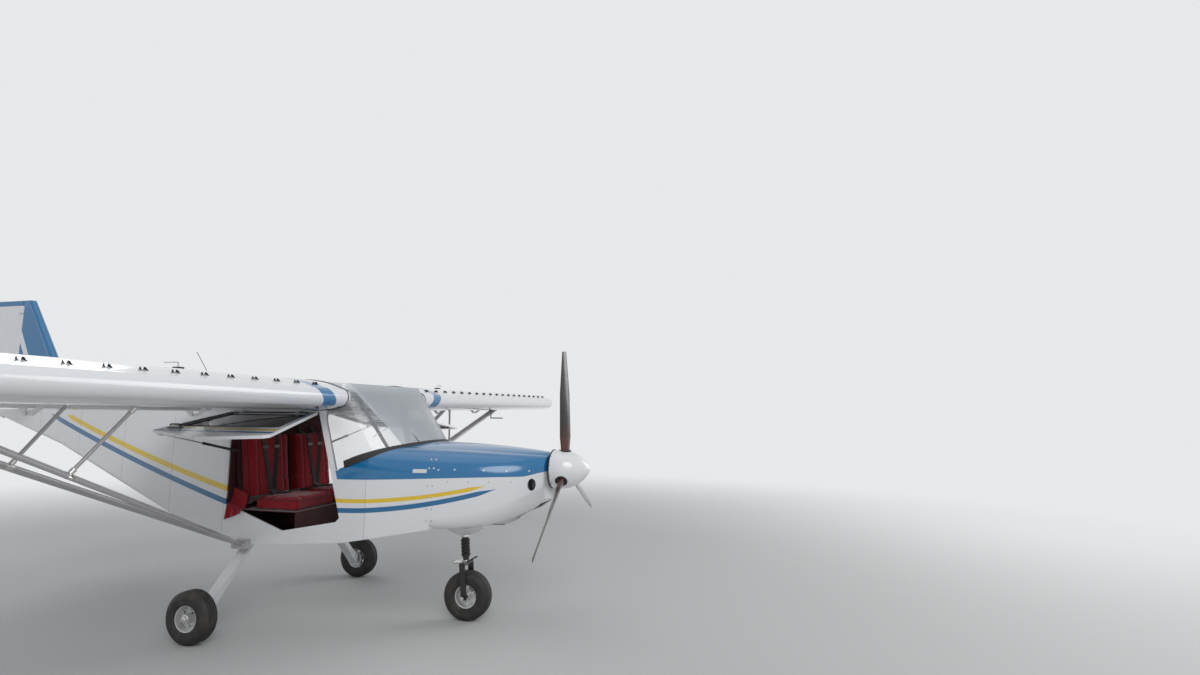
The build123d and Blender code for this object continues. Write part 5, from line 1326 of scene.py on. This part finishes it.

# Cabin: dials, switches, knobs, compass, pedals, stick grip
cabinSet = {"face": 1.2685,
            "dials": ((0.395, 1.168), (0.300, 1.168), (0.205, 1.168), (0.395, 1.075), (0.300, 1.075),
                                      (0.205, 1.075), (-0.300, 1.168), (-0.205, 1.168)), "radius": 0.038}
board = Shape()
for number, (side, height) in enumerate(cabinSet["dials"]):
    centre = spot(cabinSet["face"], side, height)
    r = cabinSet["radius"]
    board.lathe(centre, (-1, 0, 0),
                [(-0.001, r + 0.004), (0.005, r + 0.003), (0.006, r), (0.0035, r - 0.002),
                 (0.002, r - 0.003)], 40, 0)
    board.lathe(centre, (-1, 0, 0), [(0.0018, r - 0.002), (0.0024, r - 0.003), (0.0024, 0.0)], 40, 1)
    for k in range(12):
        t = math.tau * k / 12
        way = Vector((0, math.sin(t), math.cos(t)))
        board.plank(centre + way * (r - 0.0075) + Vector((-0.0026, 0, 0)), way, (-1, 0, 0),
                    (0.006, 0.0005, 0.0012), 0.0001, 2)
    t = math.radians(40 + number * 71)
    way = Vector((0, math.sin(t), math.cos(t)))
    board.plank(centre + way * 0.010 + Vector((-0.0034, 0, 0)), way, (-1, 0, 0), (0.036, 0.0007, 0.0018),
                0.0002, 2)
    board.lathe(centre + Vector((-0.0026, 0, 0)), (-1, 0, 0),
                [(0, 0.0040), (0.0016, 0.0034), (0.0018, 0.0)], 16, 0)
board.plank(spot(cabinSet["face"] + 0.009, 0.0, 1.150), (0, 1, 0), (0, 0, 1), (0.165, 0.052, 0.018), 0.003, 0)
board.plank(spot(cabinSet["face"] + 0.0185, -0.012, 1.152), (0, 1, 0), (0, 0, 1), (0.075, 0.022, 0.001),
            0.0003, 3)
for side in (-0.068, 0.068):
    board.lathe(spot(cabinSet["face"] + 0.018, side, 1.150), (-1, 0, 0),
                [(0, 0.008), (0.010, 0.0072), (0.011, 0.0)], 20, 0)
for k in range(8):
    at = spot(cabinSet["face"] + 0.001, 0.085 - k * 0.024, 1.085)
    board.lathe(at, (-1, 0, 0), [(0, 0.0052), (0.003, 0.0050), (0.0035, 0.0030)], 12, 2)
    board.lathe(at, (-1, 0, -0.35), [(0.002, 0.0016), (0.014, 0.0022), (0.015, 0.0)], 10, 2)
for side, shade in ((0.030, 0), (-0.030, 4)):
    at = spot(cabinSet["face"], side, 1.020)
    board.lathe(at, (-1, 0, 0), [(0, 0.0045), (0.040, 0.0045)], 12, 2)
    board.lathe(at + Vector((-0.040, 0, 0)), (-1, 0, 0),
                [(0, 0.0060), (0.004, 0.0140), (0.016, 0.0150), (0.020, 0.0120), (0.021, 0.0)], 24, shade)
board.made("instruments", "root", "black", "dialFace", "alloy", "screenGlow", "redCloth")
compass = Shape()
at = spot(1.230, 0.0, 1.262)
compass.plank(at + Vector((0, 0, 0.004)), (1, 0, 0), (0, 1, 0), (0.050, 0.060, 0.010), 0.002, 0)
compass.lathe(at + Vector((-0.004, 0, 0.040)), (0, 0, 1),
              [(-0.034, 0.018), (-0.028, 0.030), (-0.010, 0.035), (0.012, 0.035),
                                                           (0.026, 0.028), (0.031, 0.012), (0.032, 0.0)],
                                                           32, 0)
compass.made("compass", "root", "black")
pedals = Shape()
for side in (-0.345, -0.185):
    pedals.tube([spot(1.180, side - 0.040, 0.850), spot(1.180, side + 0.040, 0.850)], 0.009, 12, 0)
    pedals.tube([spot(1.180, side, 0.850), spot(1.120, side, 0.7130)], 0.008, 10, 0)
    for k in (-1, 1):
        pedals.lathe(spot(1.180, side + k * 0.030, 0.850), (0, k, 0),
                     [(-0.010, 0.0096), (-0.009, 0.0125), (0.009, 0.0125), (0.010, 0.0096)], 14, 1)
pedals.tube([spot(1.120, -0.440, 0.7170), spot(1.120, -0.100, 0.7170)], 0.010, 12, 0)
pedals.both("pedals", "root", "blackSteel", "rubber")
grips = Shape()
for k in range(7):
    grips.lathe(spot(1.7015 - 0.0005 * k, -0.1485 - 0.0016 * k, 0.975 + k * 0.013), (0.085, -0.17, 1.0),
                [(-0.0062, 0.0146), (-0.004, 0.0172), (0.004, 0.0172), (0.0062, 0.0146)], 20, 0)
grips.both("stickGrip", "root", "rubber")
print("cabin fitted")

# Camera at the photograph's place and angle
viewpoint = {"place": (4.2795, -4.8138, 1.5621), "forward": (-0.22999, 0.96665, 0.11268), "roll": 0.54,
             "lens": 19.82}
forward = Vector(viewpoint["forward"]).normalized()
level = forward.cross(Vector((0, 0, 1))).normalized()
upward = level.cross(forward)
lean = math.radians(viewpoint["roll"])
across = level * math.cos(lean) + upward * math.sin(lean)
upright = upward * math.cos(lean) - level * math.sin(lean)
camera = bpy.data.objects.new("camera", bpy.data.cameras.new("camera"))
bpy.context.collection.objects.link(camera)
camera.data.sensor_width = 36.0
camera.data.lens = viewpoint["lens"]
camera.data.clip_end = 400.0
turn = Matrix((across, upright, -forward)).transposed().to_4x4()
camera.matrix_world = Matrix.Translation(viewpoint["place"]) @ turn
bpy.context.scene.camera = camera

# Studio: pale floor, pale surround, soft lamps
studio = {
    "backdrop": ink(0.80, 0.81, 0.82), "floor": ink(0.62, 0.62, 0.61), "air": ink(0.86, 0.90, 0.96),
    "ambient": 0.34,
    "lamps": (
        # name, place, size, watts, aim
        ("keyLamp", (7.0, -9.0, 7.5), 7.0, 500, (0.6, 0.0, 1.0)),
        ("fillLamp", (9.0, 6.0, 4.5), 6.0, 230, (0.5, 0.0, 1.0)),
        ("rimLamp", (-9.0, 4.0, 8.0), 7.0, 200, (0.0, 0.0, 1.2)),
        ("topLamp", (0.5, -1.0, 10.5), 9.0, 110, (0.0, 0.0, 1.0)),
    ),
}
world = bpy.data.worlds.new("studio")
bpy.context.scene.world = world
world.use_nodes = True
airLook = Look("air", world.node_tree)
seen = airLook.node("ShaderNodeLightPath", out="Is Camera Ray")
mirrored = airLook.node("ShaderNodeLightPath", out="Is Glossy Ray")
through = airLook.node("ShaderNodeLightPath", out="Is Transmission Ray")
flat = airLook.node("ShaderNodeBackground", values={"Color": studio["backdrop"], "Strength": 1.0})
dim = airLook.node("ShaderNodeBackground", values={"Color": studio["air"], "Strength": studio["ambient"]})
mixed = airLook.node("ShaderNodeMixShader", values={0: seen.most(mirrored).most(through), 1: dim, 2: flat})
airLook.node("ShaderNodeOutputWorld", values={"Surface": mixed})

floorLook = Look("paleFloor")
fx, fy = floorLook.axes()[:2]
away = (fx * fx + fy * fy) ** 0.5
pale = floorLook.node("ShaderNodeBsdfPrincipled", values={
    "Base Color": studio["floor"], "Roughness": 0.7 + floorLook.noise(3.0) * 0.1, "Specular IOR Level": 0.2})
glow = floorLook.node("ShaderNodeEmission", values={"Color": studio["backdrop"], "Strength": 1.0})
clear = floorLook.node("ShaderNodeBsdfTransparent")
under = floorLook.node("ShaderNodeNewGeometry", out="Backfacing")
melted = floorLook.node("ShaderNodeMixShader", values={0: floorLook.ease(away, 4.6, 12.5), 1: pale, 2: glow})
openBelow = floorLook.node("ShaderNodeMixShader", values={0: under, 1: melted, 2: clear})
floorLook.node("ShaderNodeOutputMaterial", values={"Surface": openBelow})
floorMesh = bpy.data.meshes.new("floor")
rings = []
for r in (20, 180):
    for i in range(96):
        t = math.tau * i / 96
        rings.append((math.cos(t) * r, math.sin(t) * r, 0.0))
sectors = [(i, 96 + i, 96 + (i + 1) % 96, (i + 1) % 96) for i in range(96)]
floorMesh.from_pydata(rings, [], [tuple(range(96))] + sectors)
floorMesh.materials.append(floorLook.material)
floor = bpy.data.objects.new("floor", floorMesh)
bpy.context.collection.objects.link(floor)

for name, place, size, watts, aim in studio["lamps"]:
    lamp = bpy.data.lights.new(name, "AREA")
    lamp.shape = "DISK"
    lamp.size = size
    lamp.energy = watts
    holder = bpy.data.objects.new(name, lamp)
    bpy.context.collection.objects.link(holder)
    holder.location = place
    holder.rotation_mode = "QUATERNION"
    holder.rotation_quaternion = (Vector(aim) - Vector(place)).to_track_quat("-Z", "Y")
bpy.context.scene.view_settings.view_transform = "Standard"
print("camera and studio set")
